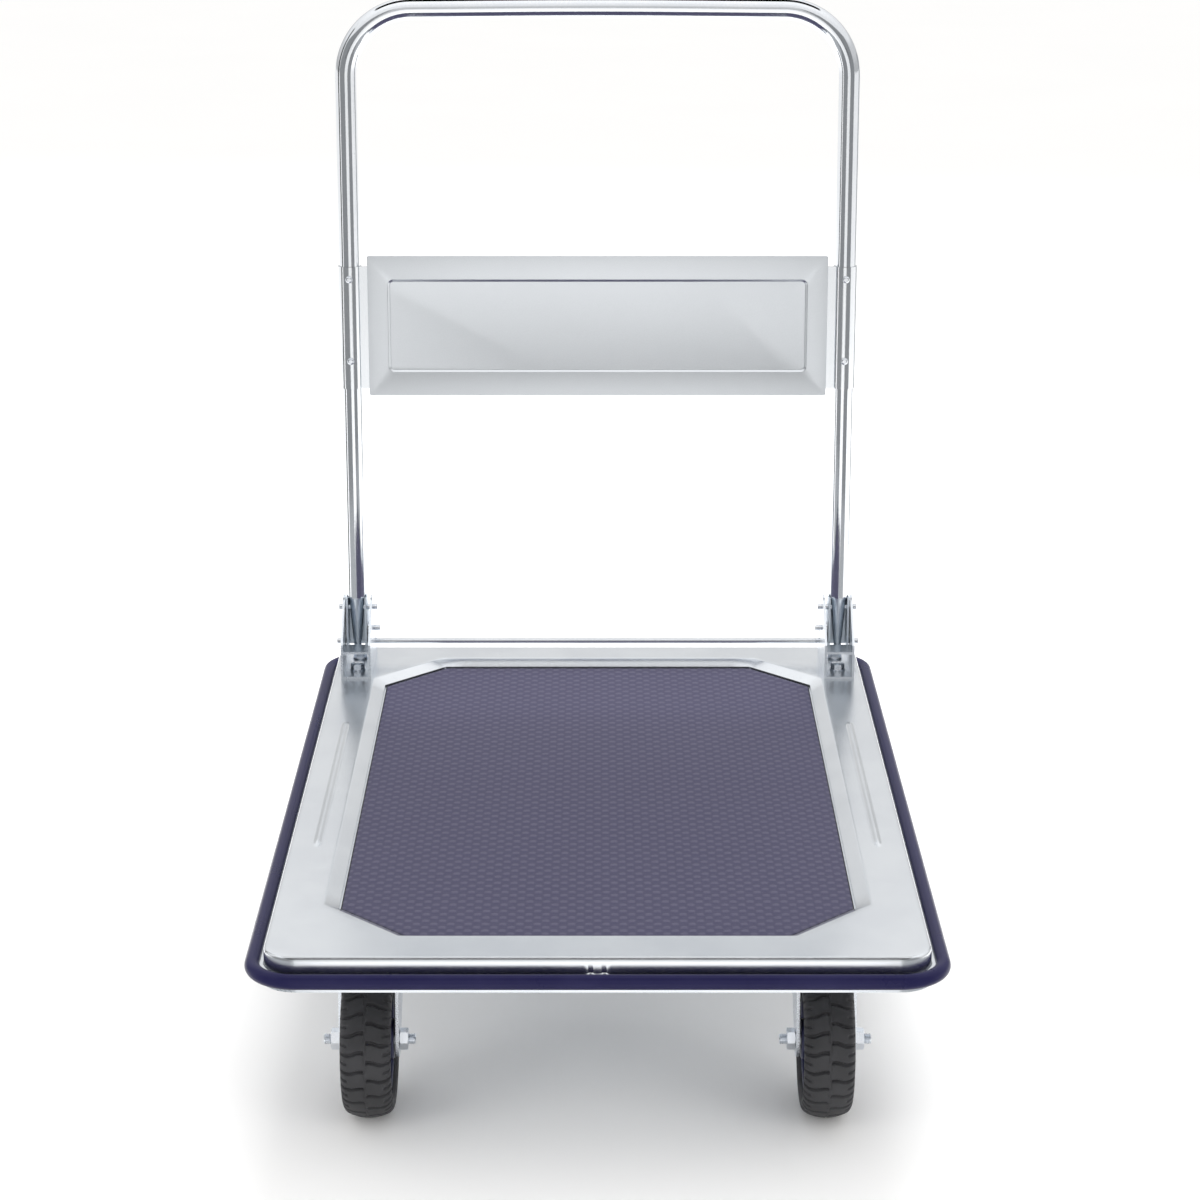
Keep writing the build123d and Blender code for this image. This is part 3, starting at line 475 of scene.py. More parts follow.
@dataclass(frozen=True)
class Rubber:
    """Dull moulded rubber or plastic: a dark colour with a bloom and a fine matt grain."""

    name: str
    colour: Colour
    bloom: Colour
    roughness: float = 0.6
    uneven: float = 0.12
    grain: float = 1400.0
    grain_depth: float = 0.00003
    specular: float = 0.5
    coat: float = 0.0

    def build(self) -> bpy.types.Material:
        """Makes the material: slow noise shifts it towards its bloom, fine noise roughens it."""
        sheet = NodeSheet(self.name)
        cloud = sheet.noise(18.0, 4.0, 0.6).between(0.3, 0.75)
        grain = sheet.noise(self.grain, 3.0, 0.65)
        tone = sheet.mix((cloud * 0.7 + grain * 0.3).held(), self.colour, self.bloom)
        rough = self.roughness + self.uneven * (cloud - 0.5)
        normal = sheet.bump(grain, self.grain_depth)
        settings: dict[str, Any] = {"Specular_IOR_Level": self.specular}
        if self.coat:
            settings.update(Coat_Weight=self.coat, Coat_Roughness=0.25)
        return sheet.finish(Base_Color=tone, Roughness=rough, Normal=normal, **settings)


@dataclass(frozen=True)
class StuddedVinyl:
    """The mat's vinyl: pads a little paler than the net between them, a leathery grain, and a painted shadow:
    near black along the sunken cut edge, where the gap round the mat falls in shade."""

    name: str
    pitch_x: float
    pitch_y: float
    # the height below which the mat's edge is painted near black, as the shadow in the gap round it
    edge_shadow_height: float
    pad: Colour = (0.066, 0.061, 0.112, 1.0)
    net: Colour = (0.046, 0.043, 0.088, 1.0)
    # the near-black colour of that painted edge shadow
    edge_shadow_colour: Colour = (0.004, 0.004, 0.006, 1.0)
    roughness: float = 0.50

    def build(self) -> bpy.types.Material:
        """Makes the material. Its pads are the cosine of X times the cosine of Y, as in the mat's shape."""
        sheet = NodeSheet(self.name)
        split = sheet.node("ShaderNodeSeparateXYZ", {}, {0: sheet.place()}, 0)
        parts = split.socket.node
        x, y, z = (Wire(sheet, parts.outputs[axis]) for axis in range(3))
        turn = 2 * math.pi / MM
        wave = (x * (turn / self.pitch_x)).cosine() * (y * (turn / self.pitch_y)).cosine()
        pads = wave.between(-0.1, 0.6)
        leather = sheet.noise(1100.0, 3.0, 0.6)
        cloud = sheet.noise(9.0, 3.0, 0.5)
        paler = (pads * 0.75 + (leather - 0.5) * 0.5 + (cloud - 0.5) * 0.3).held()
        face = sheet.mix(paler, self.net, self.pad)
        # painted shadow: below a height just under the mat's face the colour turns near black, as the shade
        # in the gap along its edge
        above = z.between((self.edge_shadow_height - 0.3) * MM, (self.edge_shadow_height + 0.2) * MM)
        tone = sheet.mix(above, self.edge_shadow_colour, face)
        normal = sheet.bump(pads * 0.7 + leather * 0.3, 0.0003)
        rough = self.roughness + 0.12 * (1.0 - pads) + 0.1 * (leather - 0.5)
        return sheet.finish(Base_Color=tone, Roughness=rough, Normal=normal, Specular_IOR_Level=0.5)


class Finishes:
    """Every finish on the truck, by the part of it that wears it."""

    SHEET = Zinc("zinc_sheet", (0.84, 0.87, 0.90, 1.0), (0.76, 0.79, 0.83, 1.0), 0.24, 0.06, 900.0, 0.000015)
    FRAME = Zinc("zinc_frame", roughness=0.30)
    HARDWARE = Zinc("zinc_hardware", (0.90, 0.92, 0.95, 1.0), (0.76, 0.80, 0.86, 1.0), 0.18, 0.08, 1200.0)
    CASTER = Zinc("zinc_caster", (0.84, 0.87, 0.91, 1.0), (0.72, 0.76, 0.82, 1.0), 0.28, 0.10)
    BRACKET = Zinc("zinc_bracket", (0.90, 0.93, 0.97, 1.0), (0.78, 0.83, 0.89, 1.0), 0.30, 0.10)
    KNUCKLE = Zinc("zinc_knuckle", (0.82, 0.88, 0.94, 1.0), (0.71, 0.78, 0.85, 1.0), 0.36, 0.08)
    CLAMP = Zinc("zinc_clamp", (0.84, 0.86, 0.89, 1.0), (0.76, 0.79, 0.82, 1.0), 0.14, 0.05, 900.0, 0.00001)
    TUBE = Zinc("bright_tube", (0.84, 0.86, 0.89, 1.0), (0.76, 0.79, 0.83, 1.0), 0.09, 0.04, 500.0, 0.00001)
    PANEL = Zinc("satin_panel", (0.76, 0.79, 0.82, 1.0), (0.71, 0.74, 0.77, 1.0), 0.32, 0.06, 900.0, 0.00002)
    BUMPER = Rubber(
        "bumper_vinyl", (0.012, 0.011, 0.050, 1.0), (0.019, 0.018, 0.064, 1.0),
        0.30, 0.06, 1500.0, 0.00001, 0.14,
    )
    TYRE = Rubber(
        "tyre_rubber", (0.022, 0.022, 0.024, 1.0), (0.046, 0.046, 0.050, 1.0),
        0.60, 0.14, 1600.0, 0.00004, 0.4,
    )
    RIM = Rubber("rim_plastic", (0.020, 0.022, 0.060, 1.0), (0.032, 0.035, 0.085, 1.0), 0.35, 0.08)
    BUSH = Rubber("bush_plastic", (0.30, 0.30, 0.31, 1.0), (0.42, 0.42, 0.43, 1.0), 0.45, 0.08)


class Wardrobe:
    """Builds each finish once and puts it on pieces and on frame nodes."""

    def __init__(self) -> None:
        """Starts with nothing built."""
        self._made: dict[str, bpy.types.Material] = {}

    def of(self, finish: Any) -> bpy.types.Material:
        """The material of a finish."""
        if finish.name not in self._made:
            self._made[finish.name] = finish.build()
        return self._made[finish.name]

    def dress(
        self, piece: bpy.types.Object, finish: Any, body: str, slot: str, *nodes: str
    ) -> bpy.types.Object:
        """Finishes a new piece, hangs it on its body and hides the frame nodes that it stands for.

        Args:
            piece: The piece.
            finish: Its finish.
            body: The body that it moves with.
            slot: The record's material slot. Not used.
            nodes: The frame nodes that it stands for.

        Returns:
            The piece.
        """
        piece.data.materials.clear()
        piece.data.materials.append(self.of(finish))
        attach(piece, body)
        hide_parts(*nodes)
        return piece

    def paint(self, node: bpy.types.Object, finish: Any) -> None:
        """Puts a finish on a frame node."""
        if not node.material_slots:
            node.data.materials.append(self.of(finish))
        for holder in node.material_slots:
            holder.material = self.of(finish)


# ---------------------------------------------------------------- deck
@dataclass
class Deck:
    """The pressed deck with its mat and edge bumper."""

    top: float = 195.0
    wall_x: float = 288.2
    wall_y: float = 428.2
    wall_corner: float = 30.0
    fold: float = 3.5
    sheet: float = 1.6
    flange_top: float = 178.2
    flange_out: float = 8.0
    recess_x: float = 243.0
    recess_front: float = 48.0
    recess_rear: float = 42.0
    chamfer: float = 70.0
    bevel_run: float = 12.0
    bevel_drop: float = 6.0
    floor: float = 186.0
    bead_x: float = 262.2
    bead_half: float = 175.0
    bead_width: float = 9.0
    bead_rise: float = 2.4
    dart_half: float = 12.0
    dart_run: float = 3.2
    skirt: float = 4.0
    nose_radius: float = 6.7
    nose_depth: float = 12.8
    nose_height: float = 177.4
    slot_half: float = 0.9
    slot_depth: float = 4.1
    pad_pitch_x: float = 15.2
    pad_pitch_y: float = 14.5
    pad_rise: float = 0.7
    pad_steps: int = 6
    mat_gap: float = 1.5
    mat_edge_drop: float = 1.6
    mat_edge_run: float = 2.2
    mat_border: tuple[float, float] = (2.0, 6.0)

    def wall_ring(self, inset: float) -> Ring:
        """The raised wall's outline, moved inwards."""
        return Ring(
            self.wall_x - inset, -self.wall_y + inset, self.wall_y - inset, self.wall_corner - inset
        )

    def recess_ring(self, inset: float) -> Ring:
        """The recess outline, moved inwards. A 45 degree cut shortens by 2 less root 2 for each unit."""
        cut = self.chamfer - (2 - math.sqrt(2)) * inset
        y0, y1 = -self.wall_y + self.recess_front + inset, self.wall_y - self.recess_rear - inset
        return Ring(self.recess_x - inset, y0, y1, cut, rounded=False)

    def bead_height(self, x: Array, y: Array) -> Array:
        """Rise of the two beads: a ridge with drawn-out round ends, whose height follows a cosine of the
        distance from its middle line."""
        radius = self.bead_width / 2
        beyond = np.maximum(np.abs(y) - (self.bead_half - 3 * radius), 0) / 3
        away = np.hypot(np.abs(x) - self.bead_x, beyond) / radius
        return self.bead_rise * (0.5 + 0.5 * np.cos(math.pi * np.clip(away, 0, 1)))

    def dart_reach(self, x: Array, z: Array) -> Array:
        """How far the front dart stands out: two small peaks side by side, fading up the wall."""
        across = np.clip(1 - np.abs(np.abs(x) - self.dart_half / 2) / (self.dart_half / 2), 0, 1)
        notch = np.where(np.abs(x) < self.dart_half / 2, np.maximum(across, 0.45), across)
        up = np.clip(1 - (z - self.flange_top) / self.dart_run, 0, 1)
        return self.dart_run * notch * up

    def tray(self) -> bpy.types.Object:
        """The pressed tray: one outline after another, from the middle of the recess floor out over the
        bevel, the beads, the fold and the wall to the flange, and back underneath.

        Returns:
            The piece.
        """
        # closer steps where the dart stands on the front, and where the beads end on the sides
        dart = np.linspace(0.476, 0.524, 25)
        bead_ends = np.concatenate([np.linspace(0.222, 0.275, 30), np.linspace(0.715, 0.770, 30)])
        front = np.union1d(np.linspace(0, 1, 17)[:-1], dart)
        right = np.union1d(np.linspace(0, 1, 25)[:-1], bead_ends)
        left = np.sort(1 - right[right > 0])
        rear, corner = np.linspace(0, 1, 17)[:-1], np.linspace(0, 1, 15)[:-1]
        steps = Steps(front, right, rear, np.union1d([0.0], left), corner)
        top, deep, sheet = self.top, self.top - self.bevel_drop, self.sheet
        rows = [self.recess_ring(self.bevel_run).at(self.floor, steps)]
        slope = self.bevel_drop / self.bevel_run
        for inset, height in (
            (self.bevel_run, deep), (self.bevel_run - 0.5, deep + 0.5 * slope + 0.03),
            (0.6, top - 0.6 * slope), (0.3, top - 0.17), (0.0, top - 0.06), (-0.6, top),
        ):
            rows.append(self.recess_ring(inset).at(height, steps))
        edge, fold = rows[-1], self.wall_ring(self.fold).at(top, steps)
        on_bead = np.linspace(0.335, 0.575, 19)
        shares = np.concatenate([np.linspace(0.06, 0.32, 4), on_bead, np.linspace(0.62, 1, 6)])
        face = edge[None] + (fold - edge)[None] * shares[:, None, None]
        face[..., 2] += self.bead_height(face[..., 0], face[..., 1])
        rows += list(face)
        for inset, height in arc((self.fold, top - self.fold), self.fold, 90, 180, 8)[1:]:
            rows.append(self.wall_ring(inset).at(height, steps))
        ledge = [self.flange_top + r for r in (3.4, 2.6, 1.9, 1.3, 0.8)]
        rows += [self.wall_ring(0).at(height, steps) for height in ledge]
        rows += [self.wall_ring(-0.25).at(self.flange_top + 0.25, steps)]
        rows += [self.wall_ring(inset).at(self.flange_top, steps) for inset in (-0.8, -3.4)]
        for row in rows[-8:-1]:
            front_only = row[:, 1] < -self.wall_y + 1
            row[:, 1] -= np.where(front_only, self.dart_reach(row[:, 0], row[:, 2]), 0)
        rows += [self.wall_ring(-self.flange_out).at(self.flange_top, steps)]
        rows += [self.wall_ring(-self.flange_out).at(self.flange_top - sheet, steps)]
        rows += [self.wall_ring(sheet).at(self.flange_top - sheet, steps)]
        for inset, height in arc((self.fold, top - self.fold), self.fold - sheet, 180, 90, 5):
            rows.append(self.wall_ring(inset).at(height, steps))
        skin = sheet * (math.hypot(self.bevel_run, self.bevel_drop) + self.bevel_drop) / self.bevel_run
        rows.append(self.recess_ring(sheet / slope - skin).at(top - sheet, steps))
        rows.append(self.recess_ring(self.bevel_run - skin).at(deep, steps))
        rows.append(self.recess_ring(self.bevel_run - skin).at(self.floor - sheet, steps))
        made = Skin().grid(np.stack(rows), wrap_columns=True).cap(rows[0]).cap(rows[-1])
        return made.piece("tray", Edges.CRISP)

    def mat(self) -> bpy.types.Object:
        """The studded mat. Rows run across at even steps of the pad pitch, each as wide as the cut corners
        leave, and the height is a pad wherever the cosine of X times the cosine of Y is high, fading to a
        plain border.

        Returns:
            The piece.
        """
        outline = self.recess_ring(self.bevel_run + self.mat_gap)
        h, y0, y1, cut = outline.half_x, outline.y0, outline.y1, outline.cut
        step_x, step_y = self.pad_pitch_x / self.pad_steps, self.pad_pitch_y / self.pad_steps
        inside = np.arange(math.ceil(y0 / step_y), math.floor(y1 / step_y) + 1) * step_y
        y = np.union1d(np.round(inside, 4), [y0, y1, y0 + cut, y1 - cut])
        y = y[np.concatenate([[True], np.diff(y) > 0.05])]
        count = int(h / step_x)
        share = np.concatenate([[-1], np.arange(-count, count + 1) * step_x / h, [1]])
        width = h - np.clip(np.maximum(y0 + cut - y, y - (y1 - cut)), 0, None)
        x = width[:, None] * share[None]
        yy = np.broadcast_to(y[:, None], x.shape)
        chamfered = (h + (y1 - y0) / 2 - cut - np.abs(x) - np.abs(yy - (y0 + y1) / 2)) / math.sqrt(2)
        border = np.minimum(np.minimum(h - np.abs(x), np.minimum(yy - y0, y1 - yy)), chamfered)
        wave = np.cos(2 * math.pi * x / self.pad_pitch_x) * np.cos(2 * math.pi * yy / self.pad_pitch_y)
        pad = smooth(wave, -0.15, 0.8) * smooth(border, *self.mat_border)
        foot, face = self.floor + 0.05, self.top - self.bevel_drop - self.pad_rise
        rim = -self.mat_edge_drop * (1 - smooth(border, 0.0, self.mat_edge_run))
        top = np.stack([x, yy, face + self.pad_rise * pad + rim], -1)
        border_loop = np.concatenate([top[0, :-1], top[:-1, -1], top[-1, :0:-1], top[:0:-1, 0]])
        low = border_loop.copy()
        low[:, 2] = foot
        made = Skin().grid(top).grid(np.stack([border_loop, low]), wrap_columns=True).cap(low)
        return made.piece("mat", Edges.FOLDED)

    def bumper(self) -> bpy.types.Object:
        """The bumper: a round nose with a flat back slotted for the flange, carried round the skirt.

        Returns:
            The piece.
        """
        steps = Steps.even(24, 32, 18)
        r, middle = self.nose_radius, self.nose_depth - self.nose_radius
        back = 0.1
        turn = math.degrees(math.acos(-(middle - back) / r))
        nose = arc((middle, 0), r, turn, -turn, 30)
        slot = np.array([
            [back, -self.slot_half], [self.slot_depth, -self.slot_half], [self.slot_depth, self.slot_half],
            [back, self.slot_half],
        ])
        section = np.vstack([nose, slot])
        rows = [self.wall_ring(-self.skirt - depth).at(self.nose_height + z, steps) for depth, z in section]
        return Skin().grid(np.stack(rows), wrap_rows=True, wrap_columns=True).piece("bumper", Edges.FOLDED)

    def build(self, wardrobe: Wardrobe) -> None:
        """Makes and dresses the deck's pieces."""
        wardrobe.dress(self.tray(), Finishes.SHEET, "deck", "zinc_sheet", "deck_tray")
        # the height below which the mat's sunken edge is painted near black as shadow
        edge_shadow_height = self.top - self.bevel_drop - self.pad_rise - 0.6
        vinyl = StuddedVinyl("mat_vinyl", self.pad_pitch_x, self.pad_pitch_y, edge_shadow_height)
        wardrobe.dress(self.mat(), vinyl, "deck", "mat", "deck_mat")
        wardrobe.dress(self.bumper(), Finishes.BUMPER, "deck", "bumper", "edge_bumper")


# ---------------------------------------------------------------- wheels
@dataclass
class Wheel:
    """One wheel: a tyre with a blocked tread on a dished rim, turning about an axle along X."""

    x: float
    y: float
    z: float = 70.0
    radius: float = 70.0
    half_width: float = 22.5
    crown: float = 3.0
    shoulder: float = 9.0
    seat: float = 48.0
    blocks: int = 25
    groove: float = 2.8
    groove_depth: float = 2.8
    wave: float = 1.1
    wave_length: float = 19.0
    slant: float = 0.08
    groove_ends: tuple[float, float] = (58.0, 61.0)
    step_shift: float = 0.7
    step_depth: float = 0.22
    notch_depth: float = 0.7
    shoulder_turn: float = 66.0
    steps: int = 500
    rim_half: float = 18.5
    hub_half: float = 22.0
    bead_well: float = 15.5
    ribs: int = 6
    rib_rise: float = 3.4
    rim_steps: int = 144

    def carcass(self) -> Array:
        """The tyre's section as (along X, radius) points: bead, sidewall, shoulder, crown and back again.

        Returns:
            Points by two, closed.
        """
        half, low = self.half_width, self.radius - self.crown
        turn = math.radians(self.shoulder_turn)
        x1 = half - self.shoulder + self.shoulder * math.cos(turn)
        r1 = low - self.shoulder + self.shoulder * math.sin(turn)
        side = np.array([[15.4, self.seat + 0.1], [15.4, 51.2], [18.7, 51.6], [20.4, 52.6], [21.6, 54.2],
                         [22.3, 56.0], [half, 57.2]])
        bend = arc((half - self.shoulder, low - self.shoulder), self.shoulder, 0, self.shoulder_turn, 12)
        across = np.linspace(x1, -x1, 41)[1:-1]
        crown = np.stack([across, self.radius - (self.radius - r1) * (across / x1) ** 2], -1)
        right = np.vstack([side, bend])
        return np.vstack([right, crown, right[::-1] * np.array([-1, 1])])

    def tread(self, x: Array, turn: Array, radius: Array) -> Array:
        """Depth of the tread at a place: slightly curved grooves across each half, the two halves half a
        block apart, a faint step between them, and a short notch on each shoulder between its grooves.

        Args:
            x: Along the axle.
            turn: Round it, in radians.
            radius: Of the plain tyre there.

        Returns:
            Depth below the plain tyre.
        """
        pitch = 2 * math.pi * self.radius / self.blocks
        out = np.abs(x)
        along = turn * self.radius + np.where(x > 0, pitch / 2, 0)
        bent = along + self.wave * np.sin(2 * math.pi * out / self.wave_length) - self.slant * out
        apart = np.abs((bent % pitch) - pitch / 2)
        cross = 1 - smooth(apart, self.groove / 2 - 0.6, self.groove / 2 + 0.5)
        cross *= smooth(radius, *self.groove_ends) * smooth(out, 0.5, 1.6)
        step = self.step_shift * np.sign(np.sin(turn * self.blocks))
        middle = self.step_depth * (1 - smooth(np.abs(x - step), 0.3, 1.0))
        halfway = np.abs(((bent + pitch / 2) % pitch) - pitch / 2)
        on_shoulder = smooth(out, 15.0, 16.5) * smooth(radius, 60, 62.5)
        notch = self.notch_depth * (1 - smooth(halfway, 0.8, 1.7)) * on_shoulder
        return self.groove_depth * np.maximum(np.maximum(cross, middle), notch)

    def tyre(self, name: str) -> bpy.types.Object:
        """The tyre: its section turned about the axle, with the radius lessened by the tread."""
        section = self.carcass()
        points = lathe_x(section, 0, 0, 0, self.steps)
        turn = np.linspace(0, 2 * math.pi, self.steps, endpoint=False)[:, None]
        across = np.broadcast_to(section[None, :, 0], points.shape[:2])
        plain = np.broadcast_to(section[None, :, 1], points.shape[:2])
        deep = plain - self.tread(across, np.broadcast_to(turn, across.shape), plain)
        y, z = self.y + deep * np.cos(turn), self.z + deep * np.sin(turn)
        points = np.stack([self.x + across, y, z], -1)
        return Skin().grid(points, wrap_rows=True, wrap_columns=True).piece(name, Edges.FOLDED)

    def rim(self, name: str) -> bpy.types.Object:
        """The rim: lips, barrel, a web with raised ribs and a hub. The web's half thickness swells where the
        cosine of the turn times the number of ribs is high."""
        hub, lip, well = self.hub_half, self.rim_half, self.bead_well
        face = np.array([
            [hub, 11.1], [hub, 16.9], [hub - 1.0, 18.0], [8.5, 18.6], [6.0, 20.5], [4.6, 24.0], [4.2, 32.0],
            [4.4, 40.0], [6.2, 43.0], [10.0, 44.0], [lip - 0.7, 44.2], [lip, 44.9], [lip, 50.3],
            [lip - 0.7, 51.0], [well + 0.7, 51.0], [well, 50.3], [well, self.seat],
        ])
        section = np.vstack([face, face[::-1] * np.array([-1, 1])])
        points = lathe_x(section, 0, 0, 0, self.rim_steps)
        turn = np.linspace(0, 2 * math.pi, self.rim_steps, endpoint=False)[:, None]
        radius = section[None, :, 1]
        rib = smooth(np.cos(self.ribs * turn), 0.72, 0.94)
        rib = rib * smooth(radius, 17, 20) * (1 - smooth(radius, 41.5, 43.5))
        on_web = np.abs(section[None, :, 0]) < 9
        points[..., 0] += np.sign(section[None, :, 0]) * np.where(on_web, self.rib_rise * rib, 0)
        points += np.array([self.x, self.y, self.z])
        return Skin().grid(points, wrap_rows=True, wrap_columns=True).piece(name, Edges.FOLDED)


class Fastener:
    """Hexagon nuts, bolt heads and threaded studs, each a function of the turn about its axis and a run along
    it."""

    NUT_STEPS = 72
    STUD_STEPS = 28
    CHAMFER_FROM = 0.95
    CHAMFER_FALL = 0.42
    BORE_EDGE = 0.5
    THREAD_DEPTH = 0.8
    STATIONS_PER_PITCH = 7

    @staticmethod
    def hexagon(across_flats: float, turn: Array, offset: float = 0.0) -> Array:
        """Radius of a hexagon: half its width over the cosine of the angle from the nearest flat."""
        away = (turn + offset + math.pi / 6) % (math.pi / 3) - math.pi / 6
        return across_flats / 2 / np.cos(away)

    @staticmethod
    def nut(
        across_flats: float, bore: float, height: float, offset: float = 0.0, both: bool = True
    ) -> Array:
        """A chamfered nut or head about its own axis, from 0 to its height. Where the hexagon passes its
        inscribed circle, the face falls away by a fixed share of the distance.

        Args:
            across_flats: Its width.
            bore: Radius of the hole, or 0 for a bolt head.
            height: Its length along the axis.
            offset: Turn of its flats in radians.
            both: Whether its first face is chamfered too.

        Returns:
            Turns by stations by (radius cosine, radius sine, along).
        """
        turn = np.linspace(0, 2 * math.pi, Fastener.NUT_STEPS, endpoint=False)[:, None]
        flat = Fastener.hexagon(across_flats, turn, offset)
        circle, fall = across_flats / 2 * Fastener.CHAMFER_FROM, Fastener.CHAMFER_FALL
        edge = Fastener.BORE_EDGE
        mouth = np.full_like(turn, bore + edge if bore else 0.001)
        radii, along = [mouth], [np.zeros_like(turn)]
        rims = [circle + (flat - circle) * s for s in (0.0, 0.5, 1.0)]
        low = [np.zeros_like(turn) + (fall * (r - circle) if both else 0.0) for r in rims]
        radii += rims
        along += low
        radii += rims[::-1]
        along += [height - fall * (r - circle) for r in rims[::-1]]
        radii += [mouth]
        along += [np.full_like(turn, height)]
        if bore:
            radii += [np.full_like(turn, bore)] * 2
            along += [np.full_like(turn, height - edge), np.full_like(turn, edge)]
        r, a = np.hstack(radii), np.hstack(along)
        return np.stack([r * np.cos(turn), r * np.sin(turn), a], -1)

    @staticmethod
    def stud(radius: float, length: float, thread: float, pitch: float = 1.5) -> Array:
        """A stud about its own axis, centred, threaded for some length at each end. The radius dips by a
        triangle wave of the distance along less the turn times the pitch, and tapers at its ends.

        Args:
            radius: Outside radius.
            length: Overall length.
            thread: Threaded length at each end.
            pitch: Of the thread.

        Returns:
            Turns by stations by (radius cosine, radius sine, along).
        """
        half = length / 2
        fine = np.arange(half - thread, half, pitch / Fastener.STATIONS_PER_PITCH)
        along = np.concatenate([-np.append(fine, half)[::-1], np.append(fine, half)])[None]
        turn = np.linspace(0, 2 * math.pi, Fastener.STUD_STEPS, endpoint=False)[:, None]
        phase = (along / pitch - turn / (2 * math.pi)) % 1.0
        tooth = np.abs(phase - 0.5) * 2
        threaded = smooth(np.abs(along), half - thread, half - thread + 1)
        end = np.clip((half - np.abs(along)) / 1.0, 0, 1)
        r = radius - Fastener.THREAD_DEPTH * tooth * threaded
        r = np.minimum(r, radius - 1.0 + end)
        return np.stack([r * np.cos(turn), r * np.sin(turn), np.broadcast_to(along, r.shape)], -1)

    @staticmethod
    def lay_x(points: Array, x: float, y: float, z: float, sign: int = 1) -> Array:
        """Lays a shape about its own axis along X, from a place, in either direction."""
        return np.stack([x + sign * points[..., 2], y + points[..., 0], z + points[..., 1]], -1)

    @staticmethod
    def lay_z(points: Array, x: float, y: float, z: float) -> Array:
        """Stands a shape about its own axis upright, from a place."""
        return points + np.array([x, y, z])

    @staticmethod
    def add(skin: Skin, points: Array, bored: bool) -> Skin:
        """Adds a turned shape to a skin: closed on itself if bored, else capped at both ends."""
        skin.grid(points, wrap_rows=True, wrap_columns=bored)
        if not bored:
            skin.cap(points[:, 0]).cap(points[:, -1])
        return skin


@dataclass
class Fork:
    """A pressed caster fork: two legs under a web, with bent corners and round feet."""

    x: float
    axle_y: float
    top: float
    front: float
    rear: float
    inside: float = 23.9
    sheet: float = 2.8
    bend: float = 5.0
    foot: float = 16.0
    axle_z: float = 70.0
    rear_angle: float = -40.0

    def edges_at(self, z: Array) -> tuple[Array, Array]:
        """The leg's front and rear edges at each height: the foot's circle below, straight lines above.

        Args:
            z: Heights.

        Returns:
            Two arrays of Y.
        """
        chord = np.sqrt(np.clip(self.foot**2 - (z - self.axle_z) ** 2, 0, None))
        rise = np.clip((z - self.axle_z) / (self.top - self.axle_z), 0, 1)
        toe = self.axle_y - self.foot
        front = np.where(z < self.axle_z, self.axle_y - chord, toe + (self.front - toe) * rise)
        low_y = self.axle_y + self.foot * math.cos(math.radians(self.rear_angle))
        low_z = self.axle_z + self.foot * math.sin(math.radians(self.rear_angle))
        share = np.clip((z - low_z) / (self.top - low_z), 0, 1)
        rear = np.where(z < low_z, self.axle_y + chord, low_y + (self.rear - low_y) * share)
        return front, rear

    def section(self, inset: float) -> Array:
        """The fork's section in X and Z, up one leg, over the web and down the other, moved inwards."""
        out, bend = self.inside + self.sheet - inset, self.bend - inset
        low = self.axle_z - self.foot
        drop = self.foot * (1 - np.cos(np.linspace(0, math.pi / 2, 10)))
        heights = np.concatenate([low + drop, np.linspace(self.axle_z, self.top - self.bend, 12)[1:-1]])
        leg = np.stack([np.full(len(heights), -out), heights], -1)
        corner = arc((-out + bend, self.top - inset - bend), bend, 180, 90, 8)
        half = np.vstack([leg, corner, [[0, self.top - inset]]])
        return np.vstack([half, half[-2::-1] * np.array([-1, 1])])

    def skin(self, skin: Skin) -> Skin:
        """Adds the fork: its section carried from the front edge of the leg's outline to the rear one."""
        outer, inner = self.section(0.0), self.section(self.sheet)
        front, rear = self.edges_at(outer[:, 1])
        share = np.linspace(0, 1, 7)[None]
        y = front[:, None] + (rear - front)[:, None] * share
        grids = []
        for side in (outer, inner):
            x = np.broadcast_to(self.x + side[:, :1], y.shape)
            z = np.broadcast_to(side[:, 1:], y.shape)
            grids.append(np.stack([x, y, z], -1))
        return skin.shell(*grids)


def plate(
    skin: Skin, x: float, y: float, half_x: float, half_y: float, radius: float, low: float, high: float,
    edge: float = 0.5,
) -> Skin:
    """Adds a flat plate with rounded corners and softened edges: its outline at four heights, the outer two
    drawn in.

    Args:
        skin: Where it goes.
        x: Middle in plan.
        y: Middle in plan.
        half_x: Half width.
        half_y: Half length.
        radius: Of its corners.
        low: Lower face.
        high: Upper face.
        edge: Size of the softened edges.

    Returns:
        The skin.
    """
    steps = Steps.even(3, 3, 7)
    rows = []
    for inset, z in ((edge, low), (0.0, low + edge), (0.0, high - edge), (edge, high)):
        ring = Ring(half_x - inset, y - half_y + inset, y + half_y - inset, radius - inset, x=x)
        rows.append(ring.at(z, steps))
    return skin.grid(np.stack(rows), wrap_columns=True).cap(rows[0]).cap(rows[-1])


